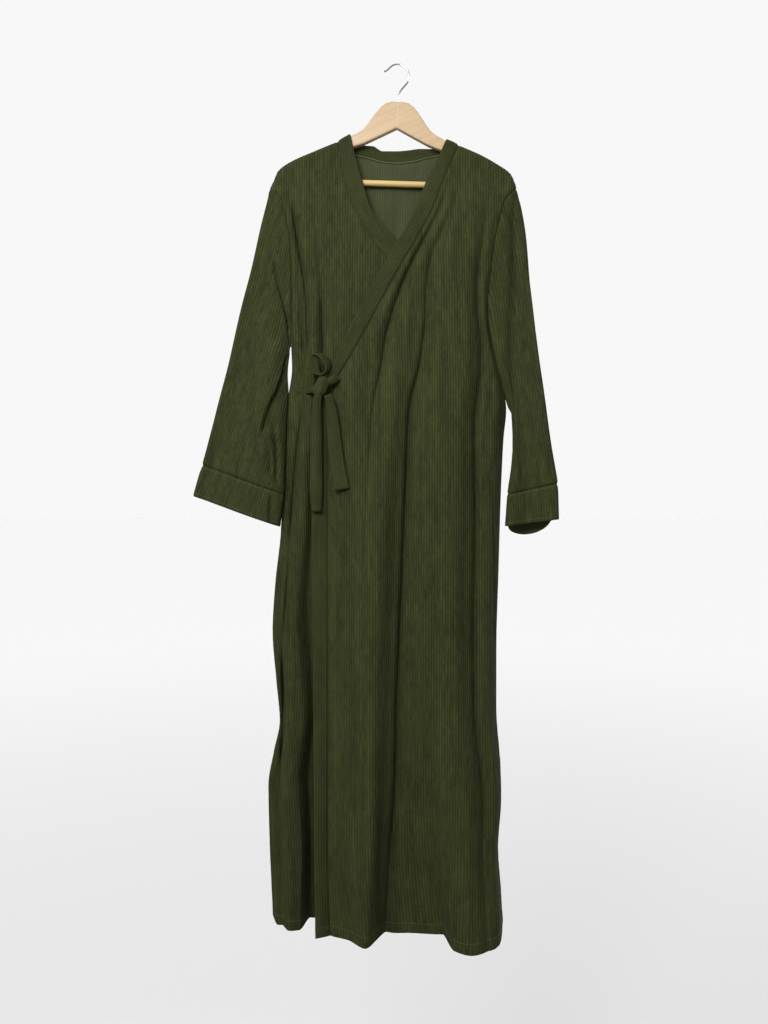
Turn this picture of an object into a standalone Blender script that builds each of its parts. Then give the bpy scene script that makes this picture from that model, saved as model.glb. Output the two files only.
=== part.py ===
"""Long wrap robe in wide-wale corduroy (abaya), hanging on a flat wooden hanger.

Units are metres and +Z is up. The origin is the inner crown of the hanger's hook, +X is the viewer's
right, and -Y is the front. Left and right in names are the wearer's, so the left front is at +X.
"""
import math
from collections import namedtuple

import bmesh
import bpy
from mathutils import Vector

# Cloth and seams
CLOTH = 0.0018            # one layer of corduroy
BAND_CLOTH = 0.0030       # the neckband and the tie are folded double
SEAM_GAP = 0.0004         # between the cut edges of two pieces at a seam
CAP_RADIUS = 0.010        # how round the cloth goes over the hanger's arm
CAP_STEPS = (0.0, 0.0009, 0.0030, 0.0062, 0.0100)   # depths of the rows that round it
SHARP_ANGLE = math.radians(50)                      # edges sharper than this stay crisp

# Levels of the garment
TIP_LEVEL = -0.236        # end of the shoulder seam, where the sleeve is set in
YOKE_LEVEL = -0.216       # above this the folds stand as they do at the shoulder seam
HEM_FRONT = -1.613
HEM_BACK = -1.607
HEM_EASE = 0.25           # share of the back's width in which its hem rises from the front's level to its own
Levels = namedtuple("Levels", "chest under tie hip knee shin hem")
LEVEL = Levels(-0.332, -0.500, -0.626, -0.856, -1.194, -1.455, -1.613)

# Shares of the way from shoulder to hem where the rows of a panel lie, below the rounded top
ROW_SHARES = (0.030, 0.055, 0.085, 0.117, 0.150, 0.182, 0.213, 0.246, 0.280, 0.320, 0.365, 0.415, 0.465,
              0.520, 0.575, 0.630, 0.685, 0.740, 0.795, 0.850, 0.900, 0.950, 1.0)
ARMPIT_ROW_RIGHT = 11     # row at which the right armhole ends
ARMPIT_ROW_LEFT = 13      # the left sleeve hangs closer, so its armhole shows further down

# Hanger
WOOD_THICKNESS = 0.012
WOOD_EDGE = 0.0025
HANGER_TILT = math.radians(1.8)
WOOD_TOP = Vector((0.0024, 0.0, -0.0710))
BAR_RADIUS = 0.0055
BAR_DROP = 0.153          # below the wood's top
BAR_HALF = 0.1876
BAR_SIDES = 20
MITRE_GAP = 0.0003
HOOK_WIRE = 0.0032
HOOK_STEPS = 34
HOOK_ROUTE = ((-0.0233, -0.0125), (-0.0175, -0.0098), (-0.0120, -0.0045), (-0.0065, -0.0003), (0.0, 0.0016),
              (0.0070, 0.0006), (0.0135, -0.0033), (0.0192, -0.0088), (0.0223, -0.0155), (0.0229, -0.0230),
              (0.0210, -0.0315), (0.0147, -0.0400), (0.0078, -0.0480), (0.0038, -0.0560), (0.0026, -0.0630),
              (0.0024, -0.0706))
# Half of the wood's outline from its top centre, as (x, z): over the arm, round its end and back underneath
ARM_TOP = ((MITRE_GAP / 2, 0.0), (0.011, 0.0), (0.021, -0.0025), (0.030, -0.009), (0.039, -0.0195),
           (0.047, -0.031), (0.055, -0.043), (0.063, -0.053), (0.073, -0.0605), (0.085, -0.0665),
           (0.097, -0.0745), (0.110, -0.0830), (0.157, -0.1040), (0.197, -0.1230))
ARM_END = ((0.206, -0.1310), (0.212, -0.139), (0.215, -0.146), (0.213, -0.158), (0.206, -0.166),
           (0.194, -0.1675), (0.188, -0.163), (0.188, -0.144))
ARM_UNDER = ((0.182, -0.138), (0.157, -0.1265), (0.110, -0.1035), (0.085, -0.0895), (0.060, -0.0805),
             (0.030, -0.0655), (MITRE_GAP / 2, -0.0500))

# Folds: how far each lies from the band seam (share 0) to the side (share 1), and its depth, level by level
Fold = namedtuple("Fold", "name shoulder cells share depth")
FRONT_LEFT_FOLDS = (
    Fold("band_seam", 0.00, 1, Levels(0, 0, 0, 0, 0, 0, 0),
         Levels(-0.017, -0.020, -0.026, -0.026, -0.030, -0.036, -0.044)),
    Fold("beside_band", 0.05, 1, Levels(0.040, 0.086, 0.118, 0.103, 0.105, 0.108, 0.112),
         Levels(-0.020, -0.026, -0.032, -0.036, -0.044, -0.056, -0.062)),
    Fold("valley_a", 0.11, 1, Levels(0.085, 0.160, 0.250, 0.221, 0.194, 0.178, 0.150),
         Levels(-0.017, -0.019, -0.030, -0.044, -0.055, -0.066, -0.076)),
    Fold("crest_ab", 0.20, 2, Levels(0.160, 0.306, 0.356, 0.308, 0.263, 0.241, 0.201),
         Levels(-0.025, -0.030, -0.038, -0.050, -0.062, -0.076, -0.089)),
    Fold("valley_b", 0.32, 2, Levels(0.260, 0.440, 0.456, 0.442, 0.403, 0.362, 0.313),
         Levels(-0.022, -0.023, -0.025, -0.027, -0.030, -0.033, -0.036)),
    Fold("middle", 0.46, 2, Levels(0.450, 0.600, 0.595, 0.598, 0.597, 0.597, 0.623),
         Levels(-0.026, -0.033, -0.038, -0.042, -0.044, -0.042, -0.038)),
    Fold("crest_lobe", 0.62, 2, Levels(0.650, 0.759, 0.716, 0.729, 0.740, 0.762, 0.770),
         Levels(-0.024, -0.033, -0.038, -0.043, -0.052, -0.078, -0.108)),
    Fold("valley_c", 0.80, 1, Levels(0.857, 0.900, 0.831, 0.857, 0.863, 0.886, 0.875),
         Levels(-0.017, -0.020, -0.022, -0.024, -0.034, -0.060, -0.098)),
    Fold("crest_c", 0.91, 2, Levels(0.930, 0.950, 0.915, 0.935, 0.930, 0.946, 0.939),
         Levels(-0.016, -0.019, -0.024, -0.026, -0.036, -0.052, -0.080)),
    Fold("side", 1.00, 0, Levels(1, 1, 1, 1, 1, 1, 1), None),
)
FRONT_RIGHT_FOLDS = (
    Fold("band_seam", 0.00, 2, Levels(0, 0, 0, 0, 0, 0, 0),
         Levels(-0.013, -0.013, -0.013, -0.012, -0.011, -0.010, -0.008)),
    Fold("flat", 0.13, 2, Levels(0.196, 0.417, 0.462, 0.454, 0.454, 0.444, 0.458),
         Levels(-0.014, -0.014, -0.014, -0.012, -0.010, -0.008, -0.004)),
    Fold("inner", 0.33, 2, Levels(0.430, 0.645, 0.689, 0.677, 0.659, 0.639, 0.665),
         Levels(-0.016, -0.017, -0.017, -0.010, -0.004, 0.002, 0.008)),
    Fold("recess", 0.50, 1, Levels(0.646, 0.768, 0.811, 0.812, 0.798, 0.782, 0.800),
         Levels(-0.013, -0.012, -0.014, -0.008, 0.000, 0.010, 0.020)),
    Fold("lobe_inner", 0.60, 1, Levels(0.700, 0.810, 0.843, 0.860, 0.867, 0.826, 0.844),
         Levels(-0.016, -0.018, -0.022, -0.024, -0.030, -0.028, -0.026)),
    Fold("crest_lobe", 0.71, 1, Levels(0.785, 0.850, 0.880, 0.917, 0.935, 0.895, 0.897),
         Levels(-0.017, -0.020, -0.024, -0.028, -0.034, -0.032, -0.028)),
    Fold("valley_side", 0.86, 1, Levels(0.890, 0.900, 0.920, 0.950, 0.965, 0.939, 0.941),
         Levels(-0.010, -0.011, -0.009, -0.006, -0.004, -0.004, -0.006)),
    Fold("crest_side", 0.94, 1, Levels(0.950, 0.960, 0.962, 0.978, 0.985, 0.972, 0.972),
         Levels(-0.013, -0.013, -0.008, -0.004, 0.000, 0.000, 0.000)),
    Fold("side", 1.00, 0, Levels(1, 1, 1, 1, 1, 1, 1), None),
)
# The back's folds lie between the right side (share 0) and the left side (share 1); shoulder is their X on top
BACK_FOLDS = (
    Fold("side_right", -0.238, 2, Levels(0, 0, 0, 0, 0, 0, 0), None),
    Fold("crest_1", -0.198, 1, Levels(0.07, 0.07, 0.07, 0.07, 0.07, 0.07, 0.07),
         Levels(0.013, 0.013, 0.013, 0.020, 0.034, 0.044, 0.050)),
    Fold("valley_1", -0.157, 2, Levels(0.16, 0.16, 0.16, 0.17, 0.17, 0.17, 0.16),
         Levels(0.013, 0.012, 0.011, 0.013, 0.020, 0.026, 0.030)),
    Fold("crest_2", -0.1100, 1, Levels(0.26, 0.26, 0.27, 0.28, 0.28, 0.28, 0.27),
         Levels(0.015, 0.016, 0.017, 0.023, 0.033, 0.043, 0.049)),
    Fold("neck_turn_1", -0.1092, 1, Levels(0.28, 0.28, 0.29, 0.30, 0.30, 0.30, 0.29),
         Levels(0.015, 0.016, 0.017, 0.023, 0.033, 0.043, 0.049)),
    Fold("neck_turn_2", -0.1075, 1, Levels(0.30, 0.30, 0.31, 0.32, 0.32, 0.32, 0.31),
         Levels(0.014, 0.015, 0.016, 0.020, 0.028, 0.036, 0.041)),
    Fold("neck_turn_3", -0.1035, 2, Levels(0.32, 0.32, 0.33, 0.34, 0.34, 0.34, 0.33),
         Levels(0.014, 0.014, 0.014, 0.017, 0.023, 0.029, 0.034)),
    Fold("valley_2", -0.0790, 1, Levels(0.36, 0.36, 0.37, 0.38, 0.39, 0.39, 0.38),
         Levels(0.013, 0.013, 0.013, 0.015, 0.020, 0.025, 0.029)),
    Fold("between_2", -0.0530, 1, Levels(0.41, 0.41, 0.42, 0.43, 0.43, 0.44, 0.43),
         Levels(0.013, 0.014, 0.015, 0.020, 0.028, 0.036, 0.041)),
    Fold("crest_3", -0.0270, 1, Levels(0.46, 0.46, 0.47, 0.48, 0.48, 0.49, 0.49),
         Levels(0.014, 0.015, 0.017, 0.025, 0.037, 0.047, 0.053)),
    Fold("between_3", 0.0015, 1, Levels(0.52, 0.52, 0.52, 0.53, 0.53, 0.54, 0.55),
         Levels(0.014, 0.014, 0.015, 0.020, 0.029, 0.037, 0.042)),
    Fold("valley_3", 0.0300, 1, Levels(0.57, 0.57, 0.57, 0.58, 0.58, 0.59, 0.60),
         Levels(0.013, 0.013, 0.013, 0.016, 0.022, 0.027, 0.031)),
    Fold("between_4", 0.0560, 1, Levels(0.61, 0.61, 0.62, 0.63, 0.63, 0.64, 0.64),
         Levels(0.014, 0.014, 0.015, 0.020, 0.028, 0.036, 0.041)),
    Fold("crest_4", 0.0820, 1, Levels(0.66, 0.66, 0.67, 0.68, 0.69, 0.69, 0.69),
         Levels(0.015, 0.016, 0.018, 0.025, 0.035, 0.045, 0.051)),
    Fold("neck_turn_4", 0.0960, 1, Levels(0.68, 0.68, 0.69, 0.70, 0.71, 0.71, 0.71),
         Levels(0.015, 0.016, 0.018, 0.024, 0.033, 0.042, 0.048)),
    Fold("neck_turn_5", 0.1095, 1, Levels(0.70, 0.70, 0.71, 0.72, 0.73, 0.73, 0.73),
         Levels(0.014, 0.015, 0.016, 0.021, 0.029, 0.037, 0.042)),
    Fold("neck_turn_6", 0.1135, 1, Levels(0.72, 0.72, 0.73, 0.74, 0.75, 0.75, 0.75),
         Levels(0.014, 0.014, 0.014, 0.018, 0.025, 0.031, 0.036)),
    Fold("neck_turn_7", 0.1152, 1, Levels(0.74, 0.74, 0.75, 0.76, 0.77, 0.77, 0.77),
         Levels(0.013, 0.013, 0.013, 0.015, 0.021, 0.026, 0.030)),
    Fold("valley_4", 0.1160, 2, Levels(0.76, 0.76, 0.77, 0.78, 0.79, 0.79, 0.79),
         Levels(0.013, 0.013, 0.013, 0.015, 0.021, 0.026, 0.030)),
    Fold("crest_5", 0.158, 1, Levels(0.85, 0.85, 0.86, 0.87, 0.87, 0.87, 0.87),
         Levels(0.014, 0.015, 0.016, 0.022, 0.032, 0.042, 0.048)),
    Fold("valley_5", 0.193, 2, Levels(0.93, 0.93, 0.93, 0.93, 0.93, 0.93, 0.93),
         Levels(0.013, 0.013, 0.013, 0.016, 0.024, 0.030, 0.034)),
    Fold("side_left", 0.2245, 0, Levels(1, 1, 1, 1, 1, 1, 1), None),
)

# Lines of the cut, as (x, z) from the top down
SHOULDER_RIGHT = ((-0.110, -0.1465), (-0.157, -0.1655), (-0.197, -0.1832), (-0.222, -0.2015),
                  (-0.230, -0.2200), (-0.238, TIP_LEVEL))
SHOULDER_LEFT = ((0.116, -0.1530), (0.156, -0.1705), (0.188, -0.1885), (0.2130, -0.2065),
                 (0.2205, -0.2220), (0.2245, TIP_LEVEL))
SIDE_RIGHT = ((-0.238, TIP_LEVEL), (-0.217, -0.252), (-0.210, -0.282), (-0.200, -0.333), (-0.197, -0.412),
              (-0.198, -0.530), (-0.196, -0.570), (-0.199, -0.620), (-0.208, -0.762), (-0.216, -0.870),
              (-0.229, -0.979), (-0.234, -1.064), (-0.227, -1.159), (-0.221, -1.235), (-0.232, -1.292),
              (-0.243, -1.359), (-0.241, -1.482), (-0.236, -1.613))
SIDE_LEFT = ((0.2245, TIP_LEVEL), (0.202, -0.260), (0.193, -0.292), (0.184, -0.329), (0.176, -0.386),
             (0.170, -0.461), (0.173, -0.508), (0.192, -0.583), (0.203, -0.621), (0.206, -0.648),
             (0.201, -0.704), (0.196, -0.818), (0.192, -0.950), (0.188, -1.101), (0.188, -1.205),
             (0.196, -1.328), (0.197, -1.375), (0.191, -1.470), (0.196, -1.546), (0.200, -1.613))
BAND_SEAM_LEFT = ((0.116, -0.153), (0.086, -0.224), (0.068, -0.273), (0.041, -0.325), (0.014, -0.371),
                  (-0.027, -0.444), (-0.053, -0.493), (-0.091, -0.561), (-0.113, -0.599), (-0.125, -0.634),
                  (-0.128, -0.680), (-0.128, -0.856), (-0.127, -1.194), (-0.127, -1.455), (-0.122, -1.613))
BAND_EDGE_LEFT = ((0.0935, -0.1415), (0.078, -0.176), (0.057, -0.218), (0.038, -0.268), (0.022, -0.302),
                  (-0.014, -0.363), (-0.043, -0.413), (-0.067, -0.458), (-0.083, -0.490), (-0.118, -0.566),
                  (-0.143, -0.606), (-0.156, -0.660), (-0.157, -0.856), (-0.154, -1.194), (-0.151, -1.455),
                  (-0.148, -1.613))
BAND_SEAM_RIGHT = ((-0.110, -0.1465), (-0.101, -0.203), (-0.087, -0.253), (-0.044, -0.333), (-0.016, -0.369),
                   (0.062, -0.500), (0.106, -0.590), (0.120, -0.660), (0.122, -0.856), (0.122, -1.613))
BAND_EDGE_RIGHT = ((-0.0870, -0.1320), (-0.080, -0.166), (-0.067, -0.211), (-0.048, -0.273),
                   (-0.017, -0.312), (0.008, -0.343), (0.086, -0.475), (0.130, -0.565), (0.147, -0.640),
                   (0.150, -0.856), (0.150, -1.613))
# The neckline of the back and the free edge of its band, as (x, y, z) between the shoulders
NECKLINE = ((-0.1100, 0.0000, -0.1465), (-0.1092, 0.0055, -0.1482), (-0.1075, 0.0088, -0.1520),
            (-0.1035, 0.0112, -0.1575), (-0.0910, 0.0122, -0.1640), (-0.0790, 0.0125, -0.1675),
            (-0.0530, 0.0130, -0.1735), (-0.0270, 0.0130, -0.1805), (0.0015, 0.0130, -0.1830),
            (0.0300, 0.0130, -0.1800), (0.0560, 0.0130, -0.1735), (0.0820, 0.0125, -0.1680),
            (0.0960, 0.0122, -0.1650), (0.1095, 0.0112, -0.1615), (0.1135, 0.0088, -0.1575),
            (0.1152, 0.0055, -0.1546), (0.1160, 0.0000, -0.1530))
NECK_EDGE = ((-0.0870, 0.0000, -0.1320), (-0.0866, 0.0055, -0.1336), (-0.0856, 0.0088, -0.1370),
             (-0.0830, 0.0108, -0.1410), (-0.0740, 0.0115, -0.1440), (-0.0600, 0.0120, -0.1460),
             (-0.0440, 0.0120, -0.1475), (-0.0260, 0.0120, -0.1570), (-0.0020, 0.0120, -0.1570),
             (0.0200, 0.0120, -0.1555), (0.0460, 0.0120, -0.1525), (0.0680, 0.0120, -0.1525),
             (0.0800, 0.0115, -0.1520), (0.0900, 0.0108, -0.1490), (0.0925, 0.0088, -0.1460),
             (0.0932, 0.0055, -0.1431), (0.0935, 0.0000, -0.1415))
# Depth of the bands' free edges, of the side seams, and of the two layers at an armhole
BAND_EDGE_DEPTH_LEFT = Levels(-0.020, -0.023, -0.030, -0.030, -0.034, -0.044, -0.056)
BAND_EDGE_DEPTH_RIGHT = Levels(-0.012, -0.012, -0.012, -0.011, -0.010, -0.009, -0.007)
SIDE_DEPTH_RIGHT = Levels(0.000, 0.000, 0.000, 0.003, 0.008, 0.012, 0.014)
SIDE_DEPTH_LEFT = Levels(0.000, 0.000, 0.000, 0.002, 0.004, 0.006, 0.008)
ARMHOLE_DEPTH = 0.012
ARMHOLE_OPEN = 0.4        # share of the armhole down which its two layers stay fully apart
ARMHOLE_REACH = 0.2       # share of the back's width that bends in with the armhole near the shoulder
SHOULDER_REACH = 0.12     # how far below the shoulder that lasts
ARMPIT_NOTCH = 0.0030     # the sleeve starts this far from the body where its seam turns at the armpit

# Sleeves: outer and inner (underarm) edge from armhole to cuff, and from there to the cuff's end, as (x, z)
Sleeve = namedtuple("Sleeve", "outer inner cuff_outer cuff_inner half_gap forward swing flare")
SLEEVE_RIGHT = Sleeve(
    outer=((-0.238, TIP_LEVEL), (-0.253, -0.301), (-0.270, -0.376), (-0.287, -0.442), (-0.309, -0.536),
           (-0.332, -0.630), (-0.353, -0.716), (-0.362, -0.753)),
    inner=((-0.198, -0.530), (-0.2065, -0.5325), (-0.2085, -0.583), (-0.207, -0.621), (-0.211, -0.668),
           (-0.214, -0.715), (-0.217, -0.780), (-0.218, -0.808)),
    cuff_outer=(-0.379, -0.811), cuff_inner=(-0.224, -0.868),
    half_gap=0.013, forward=-0.012, swing=0.010, flare=0.000)
SLEEVE_LEFT = Sleeve(
    outer=((0.2245, TIP_LEVEL), (0.234, -0.273), (0.243, -0.339), (0.249, -0.423), (0.256, -0.498),
           (0.270, -0.602), (0.283, -0.705), (0.296, -0.788)),
    inner=((0.203, -0.622), (0.2125, -0.6235), (0.2175, -0.668), (0.218, -0.700), (0.215, -0.739),
           (0.211, -0.780), (0.207, -0.807)),
    cuff_outer=(0.305, -0.852), cuff_inner=(0.203, -0.868),
    half_gap=0.015, forward=-0.010, swing=-0.008, flare=0.022)
SLEEVE_STATIONS = (0.05, 0.11, 0.19, 0.28, 0.38, 0.48, 0.58, 0.68, 0.78, 0.88, 1.0)
CUFF_STATIONS = (0.0, 0.33, 0.67, 1.0)
CUFF_STEP = 0.0012        # the cuff widens by this towards its end
SLEEVE_LEAVES = 0.45      # share of a sleeve by which it has its own section, no longer the armhole's
OUTER_ROUND = 0.035       # share of a sleeve's width that its outer edge takes to round over
INNER_ROUND = 0.18        # and its inner edge
WAVE = (1.7, 0.35)        # how many half waves the sleeve's front makes across its width, and where they start
WAVE_RATE = 1.4           # how fast the waves grow down the sleeve
SLEEVE_FLARE = 0.6        # share of the back's extra drop that is reached at the sleeve's end

# Tie at the waist, as (x, y, z)
KNOT = Vector((-0.1385, -0.0410, -0.6115))
KNOT_SIZE = Vector((0.031, 0.020, 0.038))
KNOT_SEGMENTS = (14, 9)
RIBBON_AHEAD = 0.02       # share of a ribbon's length over which its direction is taken
Ribbon = namedtuple("Ribbon", "name route width_start width_end")
TIE_RIBBONS = (
    Ribbon("tie_tail_right",
           ((-0.1450, -0.0405, -0.6302), (-0.1470, -0.0375, -0.6500), (-0.1475, -0.0345, -0.7000),
            (-0.1475, -0.0334, -0.7600), (-0.1460, -0.0334, -0.8150), (-0.1440, -0.0334, -0.8400)),
           0.019, 0.023),
    Ribbon("tie_tail_left",
           ((-0.1250, -0.0408, -0.6297), (-0.1190, -0.0385, -0.6500), (-0.1150, -0.0368, -0.7000),
            (-0.1090, -0.0381, -0.7550), (-0.1010, -0.0392, -0.8000)),
           0.022, 0.028),
    Ribbon("tie_strap_front",
           ((-0.1203, -0.0395, -0.6085), (-0.1150, -0.0380, -0.6040), (-0.1100, -0.0340, -0.5975),
            (-0.1040, -0.0300, -0.5920)),
           0.012, 0.016),
    Ribbon("tie_strap_side",
           ((-0.1545, -0.0410, -0.6125), (-0.1640, -0.0365, -0.6140), (-0.1760, -0.0260, -0.6130),
            (-0.1880, -0.0150, -0.6100), (-0.1958, -0.0066, -0.6075)),
           0.013, 0.016),
)
LOOP_CENTRE = Vector((-0.1440, -0.0410, -0.5705))
LOOP_RADII = (0.0165, 0.0205)
LOOP_LEAN = math.radians(14)
LOOP_STEPS = 18
LOOP_HALF = Vector((0.002, 0.0082, 0.003))   # from the middle of the loop's strap to its front edge

# Colours, sRGB 0 to 1
CORDUROY_COLOUR = (0.224, 0.239, 0.145)
WOOD_COLOUR = (0.882, 0.780, 0.624)
STEEL_COLOUR = (0.620, 0.620, 0.610)


def clear_scene():
    for item in list(bpy.data.objects):
        bpy.data.objects.remove(item, do_unlink=True)


def material(name, colour, roughness, metallic=0.0):
    made = bpy.data.materials.new(name)
    made.use_nodes = True
    shader = made.node_tree.nodes["Principled BSDF"]
    linear = [((c + 0.055) / 1.055) ** 2.4 if c > 0.04045 else c / 12.92 for c in colour]
    shader.inputs["Base Color"].default_value = (*linear, 1.0)
    shader.inputs["Roughness"].default_value = roughness
    shader.inputs["Metallic"].default_value = metallic
    return made


def smooth(t):
    """Ease from 0 to 1, level at both ends."""
    t = min(max(t, 0.0), 1.0)
    return t * t * (3 - 2 * t)


def along(keys, values, at):
    """Value at a place between keys, on a smooth curve that never overshoots its values."""
    if keys[0] > keys[-1]:
        keys, values = keys[::-1], values[::-1]
    if at <= keys[0]:
        return values[0]
    if at >= keys[-1]:
        return values[-1]
    slopes = [(values[i + 1] - values[i]) / (keys[i + 1] - keys[i]) for i in range(len(keys) - 1)]
    spot = next(i for i in range(len(slopes)) if at <= keys[i + 1])

    def tangent(i):
        if i == 0:
            return slopes[0]
        if i == len(slopes):
            return slopes[-1]
        before, after = slopes[i - 1], slopes[i]
        return 0.0 if before * after <= 0 else 2 * before * after / (before + after)

    span = keys[spot + 1] - keys[spot]
    t = (at - keys[spot]) / span
    rise = values[spot + 1] - values[spot]
    start, end = tangent(spot) * span, tangent(spot + 1) * span
    return values[spot] + t * start + t * t * (3 * rise - 2 * start - end) + t ** 3 * (start + end - 2 * rise)


def on_line(line, level):
    """X of an (x, z) line at a height."""
    return along([z for _, z in line], [x for x, _ in line], level)


def height_on(line, x):
    """Height of an (x, z) line above an X."""
    return along([px for px, _ in line], [z for _, z in line], x)


def by_share(line, share):
    """Point of a line at a share of its length."""
    points = [Vector(p) for p in line]
    runs = [0.0]
    for start, end in zip(points, points[1:]):
        runs.append(runs[-1] + (end - start).length)
    place = share * runs[-1]
    return Vector([along(runs, [p[axis] for p in points], place) for axis in range(len(points[0]))])


def at_level(levels, z, top_value):
    """Value of a row of the fold table at a height, from top_value at the shoulder down."""
    return along([YOKE_LEVEL] + list(LEVEL), [top_value] + list(levels), z)


def cap(depth):
    """Share of the way out over the shoulder's rounded top, at a depth below it."""
    if depth >= CAP_RADIUS:
        return 1.0
    return math.sqrt(1 - (1 - depth / CAP_RADIUS) ** 2)


def armhole_closing(share):
    """How far apart the two layers stay down an armhole: 1 for most of it, 0 at the armpit."""
    late = max(0.0, (share - ARMHOLE_OPEN) / (1 - ARMHOLE_OPEN))
    return 1 - late ** 2


class Sheet:
    """A grid of points in the middle of the cloth. Rows run down it, columns across it."""

    def __init__(self, rows, outward, closed=False):
        self.rows = rows
        self.closed = closed
        self.normals = [[self._normal(i, j) * outward for j in range(len(rows[0]))] for i in range(len(rows))]

    def _normal(self, i, j):
        rows, count = self.rows, len(self.rows[0])
        if self.closed:
            across = rows[i][(j + 1) % count] - rows[i][j - 1]
        else:
            across = rows[i][min(j + 1, count - 1)] - rows[i][max(j - 1, 0)]
        down = rows[min(i + 1, len(rows) - 1)][j] - rows[max(i - 1, 0)][j]
        return across.cross(down).normalized()

    def column(self, j):
        return [(self, i, j) for i in range(len(self.rows))]

    def row(self, i):
        return [(self, i, j) for j in range(len(self.rows[0]))]

    def pull_back(self):
        """Draw every cut edge back in the cloth, so that pieces end just short of their seam."""
        last_row, last_column = len(self.rows) - 1, len(self.rows[0]) - 1
        moved = [[point.copy() for point in row] for row in self.rows]
        for j in range(last_column + 1):
            moved[0][j] += self._inward(0, j, 1, j)
            moved[last_row][j] += self._inward(last_row, j, last_row - 1, j)
        if not self.closed:
            for i in range(last_row + 1):
                moved[i][0] += self._inward(i, 0, i, 1)
                moved[i][last_column] += self._inward(i, last_column, i, last_column - 1)
        self.rows = moved

    def _inward(self, i, j, i_in, j_in):
        rows, count = self.rows, len(self.rows[0])
        if i == i_in:
            edge = rows[min(i + 1, len(rows) - 1)][j] - rows[max(i - 1, 0)][j]
        elif self.closed:
            edge = rows[i][(j + 1) % count] - rows[i][j - 1]
        else:
            edge = rows[i][min(j + 1, count - 1)] - rows[i][max(j - 1, 0)]
        inner = rows[i_in][j_in] - rows[i][j]
        level = inner - edge * (inner.dot(edge) / edge.length_squared)
        return level.normalized() * SEAM_GAP / 2


def share_normals(*edges):
    """Give the places where pieces meet one normal, so that their cut edges face each other."""
    for meeting in zip(*edges):
        total = Vector((0, 0, 0))
        for sheet, i, j in meeting:
            total += sheet.normals[i][j]
        for sheet, i, j in meeting:
            sheet.normals[i][j] = total.normalized()


def level_normals(places):
    """Normals for a seam that lies on top of the shoulder: upright to it, in the plane of the garment."""
    points = [sheet.rows[i][j] for sheet, i, j in places]
    for spot, (sheet, i, j) in enumerate(places):
        ahead = points[min(spot + 1, len(points) - 1)] - points[max(spot - 1, 0)]
        normal = Vector((-ahead.z, 0, ahead.x)).normalized()
        sheet.normals[i][j] = normal if normal.z > 0 else -normal


def cloth_object(name, sheet, thickness, look, collection):
    """A wall of cloth round a sheet: an outer and an inner face with the same cuts, and a rim."""
    rows, columns = len(sheet.rows), len(sheet.rows[0])
    sides = []
    for sign in (0.5, -0.5):
        sides.append([[sheet.rows[i][j] + sheet.normals[i][j] * (sign * thickness) for j in range(columns)]
                      for i in range(rows)])
    vertices = [point for side in sides for row in side for point in row]

    def vertex(side, i, j):
        return side * rows * columns + i * columns + j % columns

    triangles = []
    spans = columns if sheet.closed else columns - 1
    for i in range(rows - 1):
        for j in range(spans):
            for side in (0, 1):
                a, b = vertex(side, i, j), vertex(side, i, j + 1)
                c, d = vertex(side, i + 1, j + 1), vertex(side, i + 1, j)
                triangles += [(a, b, c), (a, c, d)] if (i + j) % 2 else [(a, b, d), (b, c, d)]
    rims = [[(0, j) for j in range(spans + 1)], [(rows - 1, j) for j in range(spans + 1)]]
    if not sheet.closed:
        rims += [[(i, 0) for i in range(rows)], [(i, columns - 1) for i in range(rows)]]
    for rim in rims:
        for (i, j), (k, m) in zip(rim, rim[1:]):
            a, b, c, d = vertex(0, i, j), vertex(0, k, m), vertex(1, k, m), vertex(1, i, j)
            triangles += [(a, b, c), (a, c, d)]
    mesh = bpy.data.meshes.new(name)
    mesh.from_pydata([tuple(v) for v in vertices], [], triangles)
    return finish(name, mesh, look, collection)


def finish(name, mesh, look, collection):
    """Turn the faces outward, shade and colour the mesh, and put its object in the collection."""
    work = bmesh.new()
    work.from_mesh(mesh)
    bmesh.ops.recalc_face_normals(work, faces=work.faces)
    work.to_mesh(mesh)
    work.free()
    mesh.shade_smooth()
    mesh.set_sharp_from_angle(angle=SHARP_ANGLE)
    mesh.materials.append(look)
    made = bpy.data.objects.new(name, mesh)
    collection.objects.link(made)
    return made


def row_depths():
    """Rows of a body panel: the rounded top as depths, then shares of the way to the hem."""
    return [(depth, None) for depth in CAP_STEPS] + [(None, share) for share in ROW_SHARES]


def row_height(row, top, hem):
    depth, share = row
    return top - depth if share is None else top + (hem - top) * share


def columns_of(folds):
    """Each column as (fold index, share of the way to the next fold)."""
    placed = []
    for index, fold in enumerate(folds[:-1]):
        placed += [(index, cell / fold.cells) for cell in range(fold.cells)]
    return placed + [(len(folds) - 2, 1.0)]


def side_y(line_depths, z, row, armpit_row, sign):
    """Depth of a panel's outer edge: apart from the other layer at the armhole, together below it."""
    if row >= armpit_row:
        return at_level(line_depths, z, 0.0)
    return sign * ARMHOLE_DEPTH * armhole_closing(row / armpit_row)


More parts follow.
